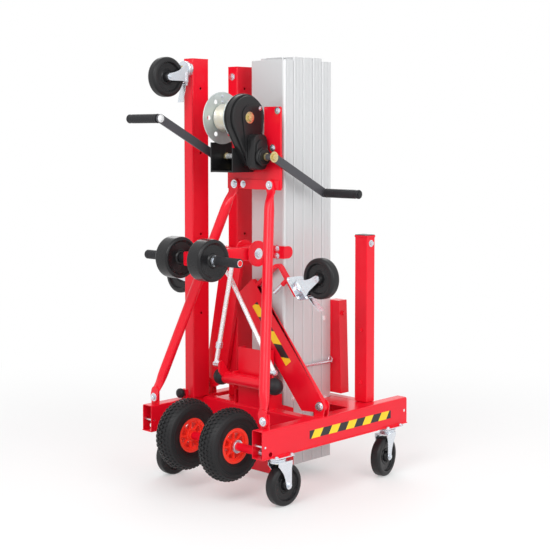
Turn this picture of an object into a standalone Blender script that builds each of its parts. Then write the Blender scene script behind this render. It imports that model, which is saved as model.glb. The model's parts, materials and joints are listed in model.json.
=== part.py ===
"""Material lift: a hand-winched telescopic mast on a wheeled base, with its legs, forks and outriggers stowed.

Metres, +Z up. The winch is on the -Y side, the load side is +Y, and +X is the operator's right.
The world origin is on the floor below the middle of the object's box. Inside the script, all places are
given in the chassis frame, whose X and Y zero are the middle between the side beams.
"""

import math

import bmesh
import bpy
from mathutils import Matrix, Vector

GAP = 0.0003            # left between faces that touch
RUN = 0.0006            # radial clearance of a shaft in its bore

# Base
BEAM_X = 0.293          # middle of a side beam
BEAM_W = 0.050
BEAM_H = 0.100
BEAM_BOTTOM = 0.186
BEAM_HALF = 0.395       # half the beam's length
SHEET = 0.003           # beam sheet
FLANGE = 0.004          # what the bottom flange stands out
CROSS_W = 0.050
CROSS_FRONT_Y = -0.085  # front face of the rear cross member
AXLE_R = 0.0075
AXLE_Y = -0.354
AXLE_Z = 0.200
ACCESS_R = 0.009        # hole in the outer wall for the spanner
STRUT_LUG = (-0.3577, -0.352)
WING_Y = 0.110          # where the front cross member's wing plates start

# Pneumatic wheels
TYRE_R = 0.130
TYRE_W = 0.085
RIM_R = 0.062
HUB_HALF = 0.0375
WHEEL_X = 0.1135        # middle plane of a wheel
SPACER_R = 0.015

# Casters
CASTER_R = 0.075
CASTER_W = 0.040
CASTER_H = 0.186        # plate top to floor
CASTER_TRAIL = 0.032
CASTER_PLATE = (0.085, 0.100, 0.0035)
CASTER_HUB = 0.0237     # half the hub's width
CASTER_STEPS = 16
FORK_SHEET = 0.004
RACE_R = 0.030
RACE_DROP = 0.010       # seat to the underside of the bearing race
HEAD_T = 0.0137         # height of the fork's turning head
PEDAL_Y = 0.0555        # swivel axis to the pedal's hinge
PEDAL_L = 0.070
BASE_CASTERS = {"rear": (-0.297, 0.0), "front": (0.308, 192.0)}    # swivel axis Y, and the way it trails

# Mast
MAST_W = 0.175
MAST_REAR = -0.050
MAST_PITCH = 0.0522     # rear face of one section to that of the next
MAST_BOTTOM = 0.052
MAST_TOP = 1.587
MAST_STEP = 0.011       # how much lower the first and the last section end
MAST_WALL = 0.004
SLOT_NECK = 0.030       # half width of the guide slot's mouth
SLOT_HEAD = 0.044
SLOT_LIP = 0.005
SLOT_DEPTH = 0.015
GLIDE = 0.0009          # guide clearance
CARRIAGE_Z = (0.300, 0.660)

# Winch
MOUNT_HALF = 0.139
DRUM_Y = -0.190
DRUM_Z = 1.360
FLANGE_R = 0.097
DRUM_LEFT = -0.096
DRUM_RIGHT = -0.002
DRUM_SHEET = 0.004
CABLE_COIL_R = 0.052
DRUM_AXLE_R = 0.011
CRANK_Y = -0.164
CRANK_Z = 1.218
CRANK_SHAFT_R = 0.008
CRANK_X = {1: MOUNT_HALF + 0.006, -1: 0.160}   # middle of the right and the left crank arm
CRANK_REACH = 0.305
CRANK_TILT = 27.0       # degrees the left arm points up at rest
ARM_W = 0.032
ARM_T = 0.007
GRIP_R = 0.017
GRIP_START = 0.0105     # middle of the arm to the grip
GRIP_LENGTH = 0.165
GRIP_CAP_T = 0.0035
FRAME_LEFT = -0.106     # inner face of the winch frame's left side plate
FRAME_SHEET = 0.006
INNER_FLANGE_R = 0.082  # the drum's flange behind the gear cover
COVER_X = (0.0085, 0.050)
COVER_R = (0.088, 0.038)    # gear cover, round the drum and round the crank shaft
BRAKE_X = (0.0505, 0.106)
BRAKE_SIZE = (0.068, 0.130) # Y and Z
BRAKE_RISE = 0.017      # middle of the housing above the crank shaft
MOUNT_Y = -0.122        # rear face of the winch mount
MOUNT_T = 0.004
MOUNT_Z = (1.096, 1.400)
CROSSBAR_Y = -0.126     # rear face of the bar the struts are bolted to

# Stay struts
STRUT_R = 0.019
STRUT_TOP = (0.0925, 1.114)
STRUT_FOOT = (0.290, -0.361, 0.312)
END_T = 0.006

# Loading arm
HINGE_Y = -0.135
BRACKET_Z = (-0.022, 0.025)     # lower and upper edge of the bracket's strap, from the hinge
ROLLER_Y = -0.428
ROLLER_R = 0.075
ROLLER_W = 0.065
ROLLER_X = 0.084
BAR_HALF = 0.245
BAR_R = 0.0125
ARM_TUBE = 0.050
DISC_R = 0.048
DISC_T = 0.008

# Rest bar
REST_Y = -0.154
REST_Z = 0.382
REST_R = 0.0235
REST_HALF = 0.120
BALL_R = 0.032
REST_LUG_X = 0.113      # outer faces of the stay rods' lugs
ROD_R = 0.0085

# Outriggers
OUT_PIVOT = (0.300, 0.322)
OUT_Y = (-0.080, -0.062)
OUT_LEAN = {1: 39.0, -1: 9.5}   # degrees from upright towards the mast, right and left
OUT_LENGTH = 0.557
OUT_EDGES = (-0.091, 0.019) # the leg's two edges at the pivot, across it
OUT_SKEW = 0.030            # how much the leg runs on towards the mast, per metre of its length
OUT_DROP = 0.151            # leg line to the caster's seat
OUT_CASTER_Y = -0.042       # middle of the caster
OUT_CASTER_DOWN = 0.150     # top of the leg to the caster's swivel axis
OUT_PIN_DOWN = 0.103        # top of the leg to the lock pin
OUT_CLEAR = 0.105           # top of the stowed right leg's line to the loading arm's hinge
PIN_REACH = (0.059, 0.1295) # the lock pin's two ends, across
PIN_R = 0.005
STRAP_DOWN = 0.024          # top of the leg to the strap's upper face
STRAP_T = 0.0125
STRAP_W = 0.021
LUG_R = 0.024
LUG_T = 0.005
PIVOT_R = 0.007

# Stowed long legs
LEG_X, LEG_Y = 0.050, 0.083
LEG_WALL = 0.003
LEG1_CORNER = (-0.310, -0.190)
LEG2_CORNER = (-0.2045, -0.058)
LEG1_TOP = 1.586
LEG2_TOP = 1.556
LEG_CASTER_DROP = 0.040     # leg top to the caster's swivel axis
LEG_HOLES = (1.474, 1.228, 0.917, 0.612)
SPIGOT = 0.060
SPIGOT_PLAY = 0.0015        # all round, inside the tube that stands over it
KNOB_X = LEG1_CORNER[0] + LEG_X / 2
KNOB_Z = 0.308
KNOB_PIN_R = 0.005

# Stowed forks
FORK_X, FORK_Y = 0.060, 0.048
FORK_CORNER = (0.212, 0.2075)
FORK_TOP = 0.919
CAP_T = 0.007

REAR_REACH = ROLLER_Y - ROLLER_R
LEFT_REACH = -0.5705    # outermost point of the left outrigger's wheel
RIGHT_REACH = 0.3422    # and of the right one's
FRAME_X = -(LEFT_REACH + RIGHT_REACH) / 2
FRAME_Y = -(REAR_REACH + BEAM_HALF) / 2
HINGE_Z = OUT_PIVOT[1] + OUT_LENGTH * math.cos(math.radians(OUT_LEAN[1])) + OUT_CLEAR
BEAM_TOP = BEAM_BOTTOM + BEAM_H
CROSS_TOP = BEAM_TOP - 0.002
CROSS_MID_Z = (BEAM_BOTTOM + BEAM_TOP - 0.001) / 2
BEAM_INNER = BEAM_X - BEAM_W / 2
BEAM_OUTER = BEAM_X + BEAM_W / 2
MAST_HALF = MAST_W / 2
MAST_FRONT = MAST_REAR + 5 * MAST_PITCH


# Finishes: colour, roughness, metallic

def paint(name, rgb, roughness, metallic=0.0):
    material = bpy.data.materials.new(name)
    material.use_nodes = True
    shader = material.node_tree.nodes["Principled BSDF"]
    shader.inputs["Base Color"].default_value = (*rgb, 1)
    shader.inputs["Roughness"].default_value = roughness
    shader.inputs["Metallic"].default_value = metallic
    return material


# Scene set-up

for old in list(bpy.data.objects):
    bpy.data.objects.remove(old)
PARTS = bpy.data.collections.new("material_lift")
CUTTERS = bpy.data.collections.new("cutters")
bpy.context.scene.collection.children.link(PARTS)
bpy.context.scene.collection.children.link(CUTTERS)

RED = ((0.78, 0.012, 0.022), 0.35, 0.0)
ALLOY = ((0.66, 0.67, 0.67), 0.42, 0.6)
ZINC = ((0.70, 0.72, 0.75), 0.3, 0.9)
BLACK = ((0.02, 0.02, 0.022), 0.45, 0.0)
RUBBER = ((0.022, 0.022, 0.024), 0.7, 0.0)

FRAME = bpy.data.objects.new("lift_frame", None)
FRAME.location = (FRAME_X, FRAME_Y, 0)
PARTS.objects.link(FRAME)


PLACED = {FRAME.name: Matrix.Identity(4)}


def pivot(name, place, axis=(0, 0, 1), under=None):
    """An empty on a joint's axis, its +Z along that axis. place and axis are in the chassis frame."""
    empty = bpy.data.objects.new(name, None)
    empty.empty_display_size = 0.03
    matrix = Matrix.Translation(place) @ Vector(axis).to_track_quat("Z", "Y").to_matrix().to_4x4()
    holder = under or FRAME
    empty.parent = holder
    empty.matrix_parent_inverse = PLACED[holder.name].inverted()
    empty.matrix_basis = matrix
    PLACED[empty.name] = matrix
    PARTS.objects.link(empty)
    return empty


# Shapes. Each returns an object whose mesh is in the chassis frame.

def wrap(mesh, name="shape"):
    obj = bpy.data.objects.new(name, mesh)
    CUTTERS.objects.link(obj)
    return obj


def from_bmesh(bm):
    mesh = bpy.data.meshes.new("shape")
    bmesh.ops.recalc_face_normals(bm, faces=bm.faces)
    bm.to_mesh(mesh)
    bm.free()
    mesh.shade_smooth()
    mesh.set_sharp_from_angle(angle=math.radians(35))
    return wrap(mesh)


def box(x, y, z):
    """A box from three (low, high) pairs."""
    bm = bmesh.new()
    bmesh.ops.create_cube(bm, size=1)
    size = Vector((x[1] - x[0], y[1] - y[0], z[1] - z[0]))
    middle = Vector((x[0] + x[1], y[0] + y[1], z[0] + z[1])) / 2
    bmesh.ops.transform(bm, matrix=Matrix.Translation(middle) @ Matrix.Diagonal((*size, 1)), verts=bm.verts)
    return from_bmesh(bm)


AXES = {
    "X": Matrix(((0, 0, 1, 0), (1, 0, 0, 0), (0, 1, 0, 0), (0, 0, 0, 1))),
    "Y": Matrix(((1, 0, 0, 0), (0, 0, -1, 0), (0, 1, 0, 0), (0, 0, 0, 1))),
    "Z": Matrix.Identity(4),
}


def aim(start, end):
    """The turn and shift that take +Z from the origin to the line from start to end."""
    way = Vector(end) - Vector(start)
    return Matrix.Translation(start) @ way.to_track_quat("Z", "Y").to_matrix().to_4x4()


def cylinder(start, end, radius, sides=16):
    bm = bmesh.new()
    length = (Vector(end) - Vector(start)).length
    bmesh.ops.create_cone(bm, cap_ends=True, segments=sides, radius1=radius, radius2=radius, depth=length)
    place = aim(start, end) @ Matrix.Translation((0, 0, length / 2))
    bmesh.ops.transform(bm, matrix=place, verts=bm.verts)
    return from_bmesh(bm)


def hexagon(start, end, across):
    return cylinder(start, end, across / math.sqrt(3), 6)


def ball(centre, radius):
    bm = bmesh.new()
    bmesh.ops.create_uvsphere(bm, u_segments=12, v_segments=8, radius=radius)
    bmesh.ops.transform(bm, matrix=Matrix.Translation(centre), verts=bm.verts)
    return from_bmesh(bm)


def arc(centre, radius, start, end, steps):
    """Points on an arc; angles in degrees."""
    angles = [math.radians(start + (end - start) * i / steps) for i in range(steps + 1)]
    return [(centre[0] + radius * math.cos(a), centre[1] + radius * math.sin(a)) for a in angles]


def rounded(width, height, radius, steps=2, centre=(0, 0)):
    """A rectangle with round corners."""
    points = []
    for quarter, (sx, sy) in enumerate(((1, 1), (-1, 1), (-1, -1), (1, -1))):
        corner = (centre[0] + sx * (width / 2 - radius), centre[1] + sy * (height / 2 - radius))
        points += arc(corner, radius, 90 * quarter, 90 * quarter + 90, steps)
    return points


def capsule(a, b, radius_a, radius_b=None, steps=6):
    """The outline round two circles, as of a link or a pear."""
    radius_b = radius_a if radius_b is None else radius_b
    way = math.degrees(math.atan2(b[1] - a[1], b[0] - a[0]))
    lean = math.degrees(math.asin((radius_a - radius_b) / math.hypot(b[0] - a[0], b[1] - a[1])))
    side = 90 - lean
    return arc(a, radius_a, way + side, way + 360 - side, steps * 2) + arc(b, radius_b, way - side, way + side, steps)


def extruded(outlines, axis, low, high):
    """Flat outlines, the first the outer one and the others holes, drawn out along an axis."""
    curve = bpy.data.curves.new("outline", "CURVE")
    curve.dimensions = "2D"
    curve.fill_mode = "BOTH"
    curve.extrude = (high - low) / 2
    for points in outlines:
        spline = curve.splines.new("POLY")
        spline.points.add(len(points) - 1)
        for point, (u, v) in zip(spline.points, points):
            point.co = (u, v, 0, 1)
        spline.use_cyclic_u = True
    drawn = bpy.data.objects.new("outline", curve)
    mesh = bpy.data.meshes.new_from_object(drawn)
    bpy.data.objects.remove(drawn)
    bm = bmesh.new()
    bm.from_mesh(mesh)
    bmesh.ops.remove_doubles(bm, verts=bm.verts, dist=1e-6)
    place = AXES[axis] @ Matrix.Translation((0, 0, (low + high) / 2 if axis != "Y" else -(low + high) / 2))
    bmesh.ops.transform(bm, matrix=place, verts=bm.verts)
    return from_bmesh(bm)


def turned(profile, place, axis="Z", steps=24):
    """A solid of revolution. profile holds (radius, height) pairs, down its outer side; place is on the axis."""
    mesh = bpy.data.meshes.new("profile")
    points = [(r, 0, h) for r, h in profile]
    closed = profile[0][0] > 0 or profile[-1][0] > 0
    edges = [(i, i + 1) for i in range(len(points) - 1)]
    if closed:
        edges.append((len(points) - 1, 0))
    mesh.from_pydata(points, edges, [])
    obj = wrap(mesh)
    screw = obj.modifiers.new("Turn", "SCREW")
    screw.axis = "Z"
    screw.steps = screw.render_steps = steps
    screw.use_merge_vertices = True
    screw.merge_threshold = 1e-5
    screw.use_smooth_shade = True
    obj.matrix_basis = Matrix.Translation(place) @ AXES[axis]
    return obj


def tube(points, radius, sides=3):
    """A round rod along points."""
    curve = bpy.data.curves.new("route", "CURVE")
    curve.dimensions = "3D"
    curve.bevel_depth = radius
    curve.bevel_resolution = sides
    curve.use_fill_caps = True
    spline = curve.splines.new("POLY")
    spline.points.add(len(points) - 1)
    for point, co in zip(spline.points, points):
        point.co = (*co, 1)
    drawn = bpy.data.objects.new("route", curve)
    mesh = bpy.data.meshes.new_from_object(drawn)
    bpy.data.objects.remove(drawn)
    bm = bmesh.new()
    bm.from_mesh(mesh)
    bmesh.ops.remove_doubles(bm, verts=bm.verts, dist=1e-6)
    return from_bmesh(bm)


def moved(shape, matrix):
    """The same shape, turned and shifted."""
    shape.matrix_basis = matrix @ shape.matrix_basis
    return shape


def piece(name, finish, base, joined=(), cut=(), on=None):
    """One named solid: a base shape, the shapes joined to it, the shapes cut from it, and the pivot it rides on."""
    CUTTERS.objects.unlink(base)
    PARTS.objects.link(base)
    base.name = name
    base.data.name = name
    base.data.materials.append(paint(name, *finish))
    for kind, tools in (("UNION", joined), ("DIFFERENCE", cut)):
        for number, tool in enumerate(tools):
            step = base.modifiers.new(f"{kind.title()} {number}", "BOOLEAN")
            step.operation = kind
            step.solver = "EXACT"
            step.object = tool
            tool.name = f"{name}_{kind.lower()}_{number}"
            tool.hide_render = True
            tool.display_type = "WIRE"
            tool.parent = base
            tool.matrix_parent_inverse = base.matrix_basis.inverted()
    holder = on or FRAME
    base.parent = holder
    base.matrix_parent_inverse = PLACED[holder.name].inverted()
    return base


def slide_up(name, x, y, z, under=None):
    return pivot(name, (x, y, z), (0, 0, 1), under)


# Casters, made in a frame whose origin is the middle of the seat, with the wheel below and trailing to +Y

def caster_plate(seat, round_plate=False):
    """The top plate with its bearing race, to be joined to what carries it."""
    width, length, thick = CASTER_PLATE
    race = cylinder((0, 0, 0.001), (0, 0, -RACE_DROP), RACE_R, 14)
    if round_plate:
        return [moved(race, seat)]
    plate = extruded([rounded(width, length, 0.010)], "Z", -thick, 0.0005)
    return [moved(plate, seat), moved(race, seat)]


def caster(name, seat, root=None, pedal=False):
    """Fork, wheel and, where there is one, brake pedal."""
    def at(x, y, z):
        return seat @ Vector((x, y, z))

    def way(x, y, z):
        return seat.to_3x3() @ Vector((x, y, z))

    swivel = pivot(f"{name}_swivel", at(0, 0, 0), way(0, 0, 1), root)
    axle = (0, CASTER_TRAIL, CASTER_R - CASTER_H)
    spin = pivot(f"{name}_spin", at(*axle), way(1, 0, 0), swivel)
    inner = CASTER_HUB + GAP
    outer = inner + FORK_SHEET
    top = -RACE_DROP - GAP
    crown = top - HEAD_T
    leg = [(-0.016, crown), (0.050, crown), (0.050, crown - 0.014), (0.043, crown - 0.034)]
    leg += arc(axle[1:], 0.013, 0, -160, 5)
    leg += [(0.010, crown - 0.048), (-0.008, crown - 0.026), (-0.016, crown - 0.012)]
    half = outer - 0.0007
    deck = extruded([[(-half, 0.049), *arc((0, 0), half, 180, 360, 6), (half, 0.049)]],
                    "Z", crown - FORK_SHEET, crown + 0.001)
    joined = [cylinder((0, 0, top), (0, 0, crown), RACE_R + 0.002, 14)]
    for side in (1, -1):
        low, high = sorted((side * inner, side * outer))
        joined.append(extruded([leg], "X", low, high))
        joined.append(cylinder((side * (outer - 0.001), *axle[1:]), (side * (outer + 0.005), *axle[1:]), 0.008, 6))
        if pedal:
            ear = box(sorted((side * 0.0178, side * 0.0215)), (0.044, PEDAL_Y + 0.007),
                      (crown - FORK_SHEET - 0.003, crown + 0.004))
            joined.append(ear)
    joined.append(cylinder((-inner - 0.001, *axle[1:]), (inner + 0.001, *axle[1:]), 0.005, 10))
    for shape in [deck, *joined]:
        moved(shape, seat)
    piece(f"{name}_fork", ZINC, deck, joined, on=swivel)

    half = CASTER_W / 2
    hub = CASTER_HUB
    bore = 0.005 + RUN
    profile = [(bore, hub), (0.022, hub), (0.025, half * 0.6), (0.057, half * 0.6), (0.061, half),
               (CASTER_R, half * 0.6)]
    profile = profile + [(r, -h) for r, h in reversed(profile)]
    wheel = turned(profile, axle, "X", CASTER_STEPS)
    piece(f"{name}_wheel", RUBBER, moved(wheel, seat), on=spin)
    if not pedal:
        return
    hinge_z = crown - 0.002
    hinge = pivot(f"{name}_brake", at(0, PEDAL_Y, hinge_z), way(1, 0, 0), swivel)
    tread = extruded([[(PEDAL_Y, hinge_z + 0.002), (PEDAL_Y + 0.050, hinge_z - 0.006),
                       (PEDAL_Y + PEDAL_L, hinge_z - 0.010), (PEDAL_Y + PEDAL_L, hinge_z - 0.013),
                       (PEDAL_Y + 0.049, hinge_z - 0.009), (PEDAL_Y, hinge_z - 0.002)]], "X", -0.015, 0.015)
    barrel = cylinder((-0.0175, PEDAL_Y, hinge_z), (0.0175, PEDAL_Y, hinge_z), 0.0042, 8)
    piece(f"{name}_brake_pedal", ZINC, moved(tread, seat), [moved(barrel, seat)], on=hinge)


def seat_at(place, down, trail):
    """The matrix that puts a caster's seat at place, its wheel towards down and trailing towards trail."""
    up = -Vector(down).normalized()
    back = Vector(trail).normalized()
    side = back.cross(up)
    turn = Matrix((side, back, up)).transposed().to_4x4()
    return Matrix.Translation(place) @ turn


# Base: side beams, cross members, axle and struts

def out_point(side, along, across):
    """A point of an outrigger, from its pivot: along the leg, and across it on the caster's side."""
    lean = math.radians(OUT_LEAN[side])
    x, z = OUT_PIVOT
    return (side * (x - along * math.sin(lean) + across * math.cos(lean)),
            z + along * math.cos(lean) + across * math.sin(lean))


def base_seat(side, end):
    y, yaw = BASE_CASTERS[end]
    return Matrix.Translation((side * BEAM_X, y, BEAM_BOTTOM)) @ Matrix.Rotation(math.radians(side * yaw), 4, "Z")


def side_beam(side, name):
    xi, xo = side * BEAM_INNER, side * BEAM_OUTER
    z0, z1 = BEAM_BOTTOM, BEAM_TOP
    skin = [(xo + side * FLANGE, z0), (xo + side * FLANGE, z0 + SHEET), (xo, z0 + SHEET), (xo, z1 - 0.006),
            (xo - side * 0.002, z1 - 0.002), (xo - side * 0.006, z1), (xi + side * 0.006, z1),
            (xi + side * 0.002, z1 - 0.002), (xi, z1 - 0.006), (xi, z0)]
    hollow = rounded(BEAM_W - 2 * SHEET, BEAM_H - 2 * SHEET, 0.0006, 1, (side * BEAM_X, (z0 + z1) / 2))
    body = extruded([skin, hollow], "Y", -BEAM_HALF, BEAM_HALF)
    joined = []
    for y, _ in BASE_CASTERS.values():
        joined += caster_plate(Matrix.Translation((side * BEAM_X, y, BEAM_BOTTOM)))
    ear_foot = sorted((side * (OUT_PIVOT[0] - 0.028), side * (OUT_PIVOT[0] + 0.016)))
    ear_outline = [(ear_foot[1], z1 - 0.002), *arc((side * OUT_PIVOT[0], OUT_PIVOT[1]), LUG_R, 0, 180, 8),
                   (ear_foot[0], z1 - 0.002)]
    rear, front = OUT_Y[0] - GAP, OUT_Y[1] + GAP
    for low, high in ((rear - LUG_T, rear), (front, front + LUG_T)):
        joined.append(extruded([ear_outline], "Y", low, high))
    x, z = side * OUT_PIVOT[0], OUT_PIVOT[1]
    joined.append(cylinder((x, rear - LUG_T - 0.002, z), (x, front + LUG_T + 0.006, z), PIVOT_R, 10))
    joined.append(cylinder((x, rear - LUG_T - 0.010, z), (x, rear - LUG_T + 0.001, z), 0.0125, 12))
    joined.append(box(sorted((side * 0.270, side * 0.312)), (STRUT_LUG[0], STRUT_LUG[1]), (z1 - 0.002, 0.338)))
    if side < 0:
        joined.append(leg_spigot(LEG1_CORNER, z1))
        joined.append(box((KNOB_X - 0.013, KNOB_X + 0.013), (-0.220, -0.205), (z1 - 0.002, KNOB_Z + 0.013)))
    cut = [cylinder((xo - side * 0.010, AXLE_Y, AXLE_Z), (xo + side * 0.010, AXLE_Y, AXLE_Z), ACCESS_R, 10),
           cylinder((xi - side * 0.010, AXLE_Y, AXLE_Z), (xi + side * 0.010, AXLE_Y, AXLE_Z), AXLE_R + RUN, 10),
           cylinder((xi - side * 0.020, -0.381, 0.229), (xo + side * 0.020, -0.381, 0.229), 0.0045, 8),
           cylinder((xo - side * 0.010, 0.381, 0.236), (xo + side * 0.010, 0.381, 0.236), 0.006, 8)]
    if side < 0:
        cut.append(cylinder((KNOB_X, -0.225, KNOB_Z), (KNOB_X, -0.200, KNOB_Z), KNOB_PIN_R + RUN, 10))
    return piece(name, RED, body, joined, cut)


def leg_spigot(corner, base):
    """The stub that a stowed leg stands over."""
    clear = LEG_WALL + SPIGOT_PLAY
    return box((corner[0] + clear, corner[0] + LEG_X - clear - 0.006), (corner[1] + clear, corner[1] + LEG_Y - clear),
               (base - 0.002, base + SPIGOT))


def cross_members():
    span = BEAM_INNER - GAP
    rear = extruded([rounded(CROSS_W, BEAM_H - 0.003, 0.006, 1, (CROSS_FRONT_Y - CROSS_W / 2, CROSS_MID_Z)),
                     rounded(CROSS_W - 2 * SHEET, BEAM_H - 0.003 - 2 * SHEET, 0.003, 1,
                             (CROSS_FRONT_Y - CROSS_W / 2, CROSS_MID_Z))], "X", -span, span)
    back = CROSS_FRONT_Y - CROSS_W
    foot_low = MAST_BOTTOM - 0.005
    cheek_in, cheek_out = MAST_HALF + GAP, MAST_HALF + GAP + 0.004
    joined = [box((0.001 - cheek_out, cheek_out - 0.001), (back + 0.0008, back + 0.0048),
                  (foot_low + 0.0007, BEAM_BOTTOM + 0.006)),
              box((0.0018 - cheek_out, cheek_out - 0.0018), (back + 0.0026, MAST_REAR + MAST_PITCH - 0.002),
                  (foot_low + 0.0014, MAST_BOTTOM - GAP))]
    for side in (1, -1):
        x = sorted((side * cheek_in, side * cheek_out))
        cheek = [(back + 0.0015, foot_low), (MAST_REAR + MAST_PITCH - 0.004, foot_low),
                 (MAST_REAR + MAST_PITCH - 0.004, CROSS_TOP - 0.012), (MAST_REAR - 0.014, CROSS_TOP + 0.010),
                 (MAST_REAR - 0.014, 0.335), (back + 0.0015, 0.335)]
        joined.append(extruded([cheek], "X", *x))
    shelf_x = (LEG2_CORNER[0] - 0.008, -cheek_out + 0.001)
    shelf_y = (CROSS_FRONT_Y - 0.040, LEG2_CORNER[1] + LEG_Y + 0.006)
    joined.append(box(shelf_x, shelf_y, (CROSS_TOP - 0.001, CROSS_TOP + 0.003)))
    joined.append(leg_spigot(LEG2_CORNER, CROSS_TOP + 0.003))
    opening = box((-0.100, 0.100), (back + 0.006, CROSS_FRONT_Y - 0.006), (CROSS_MID_Z - 0.040, CROSS_MID_Z + 0.040))
    piece("rear_cross_member", RED, rear, joined, [opening])

    front_y = MAST_FRONT + 0.002
    front = extruded([rounded(CROSS_W, BEAM_H - 0.003, 0.006, 1, (front_y + CROSS_W / 2, CROSS_MID_Z)),
                      rounded(CROSS_W - 2 * SHEET, BEAM_H - 0.003 - 2 * SHEET, 0.003, 1,
                              (front_y + CROSS_W / 2, CROSS_MID_Z))], "X", -span, span)
    joined = []
    for side in (1, -1):
        joined.append(box(sorted((side * (MAST_HALF + 0.001), side * (span - 0.001))), (WING_Y, front_y + 0.010),
                          (CROSS_TOP - 0.0038, CROSS_TOP - 0.0008)))
        joined.append(box(sorted((side * (MAST_HALF + 0.0016), side * (MAST_HALF + 0.0046))),
                          (WING_Y + 0.001, front_y + 0.004), (BEAM_BOTTOM + 0.010, CROSS_TOP - 0.0016)))
        clear = LEG_WALL + SPIGOT_PLAY
        x = sorted((side * (FORK_CORNER[0] + clear), side * (FORK_CORNER[0] + FORK_X - 0.0062)))
        joined.append(box(x, (FORK_CORNER[1] + clear, FORK_CORNER[1] + FORK_Y - clear),
                          (CROSS_TOP - 0.002, CROSS_TOP + 0.046)))
    piece("front_cross_member", RED, front, joined)


def wheel_axle():
    """The through axle with its spacer tubes, washers and the nuts inside the beams."""
    end = BEAM_INNER + SHEET + 0.020
    rod = cylinder((-end, AXLE_Y, AXLE_Z), (end, AXLE_Y, AXLE_Z), AXLE_R, 12)
    hub_in, hub_out = WHEEL_X - HUB_HALF - GAP, WHEEL_X + HUB_HALF + GAP
    joined = [cylinder((-hub_in, AXLE_Y, AXLE_Z), (hub_in, AXLE_Y, AXLE_Z), SPACER_R, 12)]
    for side in (1, -1):
        spacer_end = side * (BEAM_INNER - GAP)
        joined.append(cylinder((side * (hub_out + 0.001), AXLE_Y, AXLE_Z), (spacer_end, AXLE_Y, AXLE_Z), SPACER_R, 12))
        joined.append(cylinder((side * hub_out, AXLE_Y, AXLE_Z), (side * (hub_out + 0.004), AXLE_Y, AXLE_Z), 0.024, 12))
        nut = side * (BEAM_INNER + SHEET + GAP)
        joined.append(hexagon((nut, AXLE_Y, AXLE_Z), (nut + side * 0.012, AXLE_Y, AXLE_Z), 0.018))
    piece("wheel_axle", ZINC, rod, joined)


def pneumatic_wheel(name, x):
    spin = pivot(f"{name}_spin", (x, AXLE_Y, AXLE_Z), (1, 0, 0))
    half = TYRE_W / 2
    outer = [(AXLE_R + RUN, HUB_HALF), (0.020, HUB_HALF), (0.022, 0.010), (0.046, 0.008), (0.052, 0.026),
             (RIM_R, 0.028), (0.092, half), (0.114, half - 0.005), (TYRE_R, half - 0.025)]
    profile = outer + [(r, -h) for r, h in reversed(outer)]
    wheel = turned(profile, (x, AXLE_Y, AXLE_Z), "X", 24)
    ribs = []
    for number in range(4):
        turn = Matrix.Rotation(math.pi * (number + 0.5) / 4, 4, "X")
        for side in (1, -1):
            for end in (1, -1):
                rib = box(sorted((side * 0.004, side * 0.024)), (-0.003, 0.003), sorted((end * 0.019, end * 0.0535)))
                ribs.append(moved(rib, Matrix.Translation((x, AXLE_Y, AXLE_Z)) @ turn))
    piece(name, RUBBER, wheel, ribs, on=spin)


def stay_strut(side, name):
    """A round stay with both ends pressed flat and bolted."""
    top = Vector((side * STRUT_TOP[0], CROSSBAR_Y - GAP - END_T / 2, STRUT_TOP[1]))
    foot = Vector((side * STRUT_FOOT[0], STRUT_FOOT[1], STRUT_FOOT[2]))
    run = (foot - top).normalized()
    body = cylinder(top + run * 0.050, foot - run * 0.040, STRUT_R, 10)
    joined = []
    for end, way in ((top, run), (foot, -run)):
        far = end + way * 0.066
        outline = capsule((end.x, end.z), (far.x, far.z), STRUT_R, STRUT_R * 0.96, 4)
        joined.append(extruded([outline], "Y", end.y - END_T / 2, end.y + END_T / 2))
        joined.append(cylinder(end - Vector((0, END_T / 2 - 0.001, 0)), end - Vector((0, END_T / 2 + 0.009, 0)), 0.012, 10))
    piece(name, RED, body, joined)


# Mast

def section_outline(number):
    """One extrusion of the nest: a tongue at the rear, a guide slot at the front, and grooved sides."""
    rear = MAST_REAR + number * MAST_PITCH + (GLIDE if number else 0)
    front = MAST_REAR + (number + 1) * MAST_PITCH
    half = MAST_HALF
    right = [(SLOT_HEAD, front - SLOT_DEPTH), (SLOT_HEAD, front - SLOT_LIP), (SLOT_NECK, front - SLOT_LIP),
             (SLOT_NECK, front), (half - 0.002, front), (half, front - 0.002)]
    for share in (0.36, 0.68):
        groove = front - share * MAST_PITCH
        right += [(half, groove + 0.0015), (half - 0.0015, groove), (half, groove - 0.0015)]
    if number:
        lip = front - MAST_PITCH - SLOT_LIP - GLIDE
        right += [(half, rear + 0.002), (half - 0.002, rear), (SLOT_NECK - GLIDE, rear), (SLOT_NECK - GLIDE, lip),
                  (SLOT_HEAD - GLIDE, lip), (SLOT_HEAD - GLIDE, front - MAST_PITCH - SLOT_DEPTH + GLIDE)]
    else:
        right += arc((half - 0.010, rear + 0.010), 0.010, 360, 270, 3)
    return right + [(-x, y) for x, y in reversed(right)], rear, front


def mast_section(number, under):
    outline, rear, front = section_outline(number)
    chambers = []
    middle = (rear + MAST_WALL + front - SLOT_DEPTH - MAST_WALL) / 2
    depth = (front - SLOT_DEPTH - MAST_WALL) - (rear + MAST_WALL)
    width = MAST_HALF - 1.5 * MAST_WALL
    for side in (1, -1):
        chambers.append(rounded(width, depth, 0.003, 1, (side * (MAST_WALL / 2 + width / 2), middle)))
    top = MAST_TOP - (MAST_STEP if number in (0, 4) else 0)
    body = extruded([outline, *chambers], "Z", MAST_BOTTOM, top)
    holder = slide_up(f"mast_section_{number + 1}_slide", 0, (rear + front) / 2, MAST_BOTTOM, under) if number else None
    piece(f"mast_section_{number + 1}", ALLOY, body, on=holder)
    return holder


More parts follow.
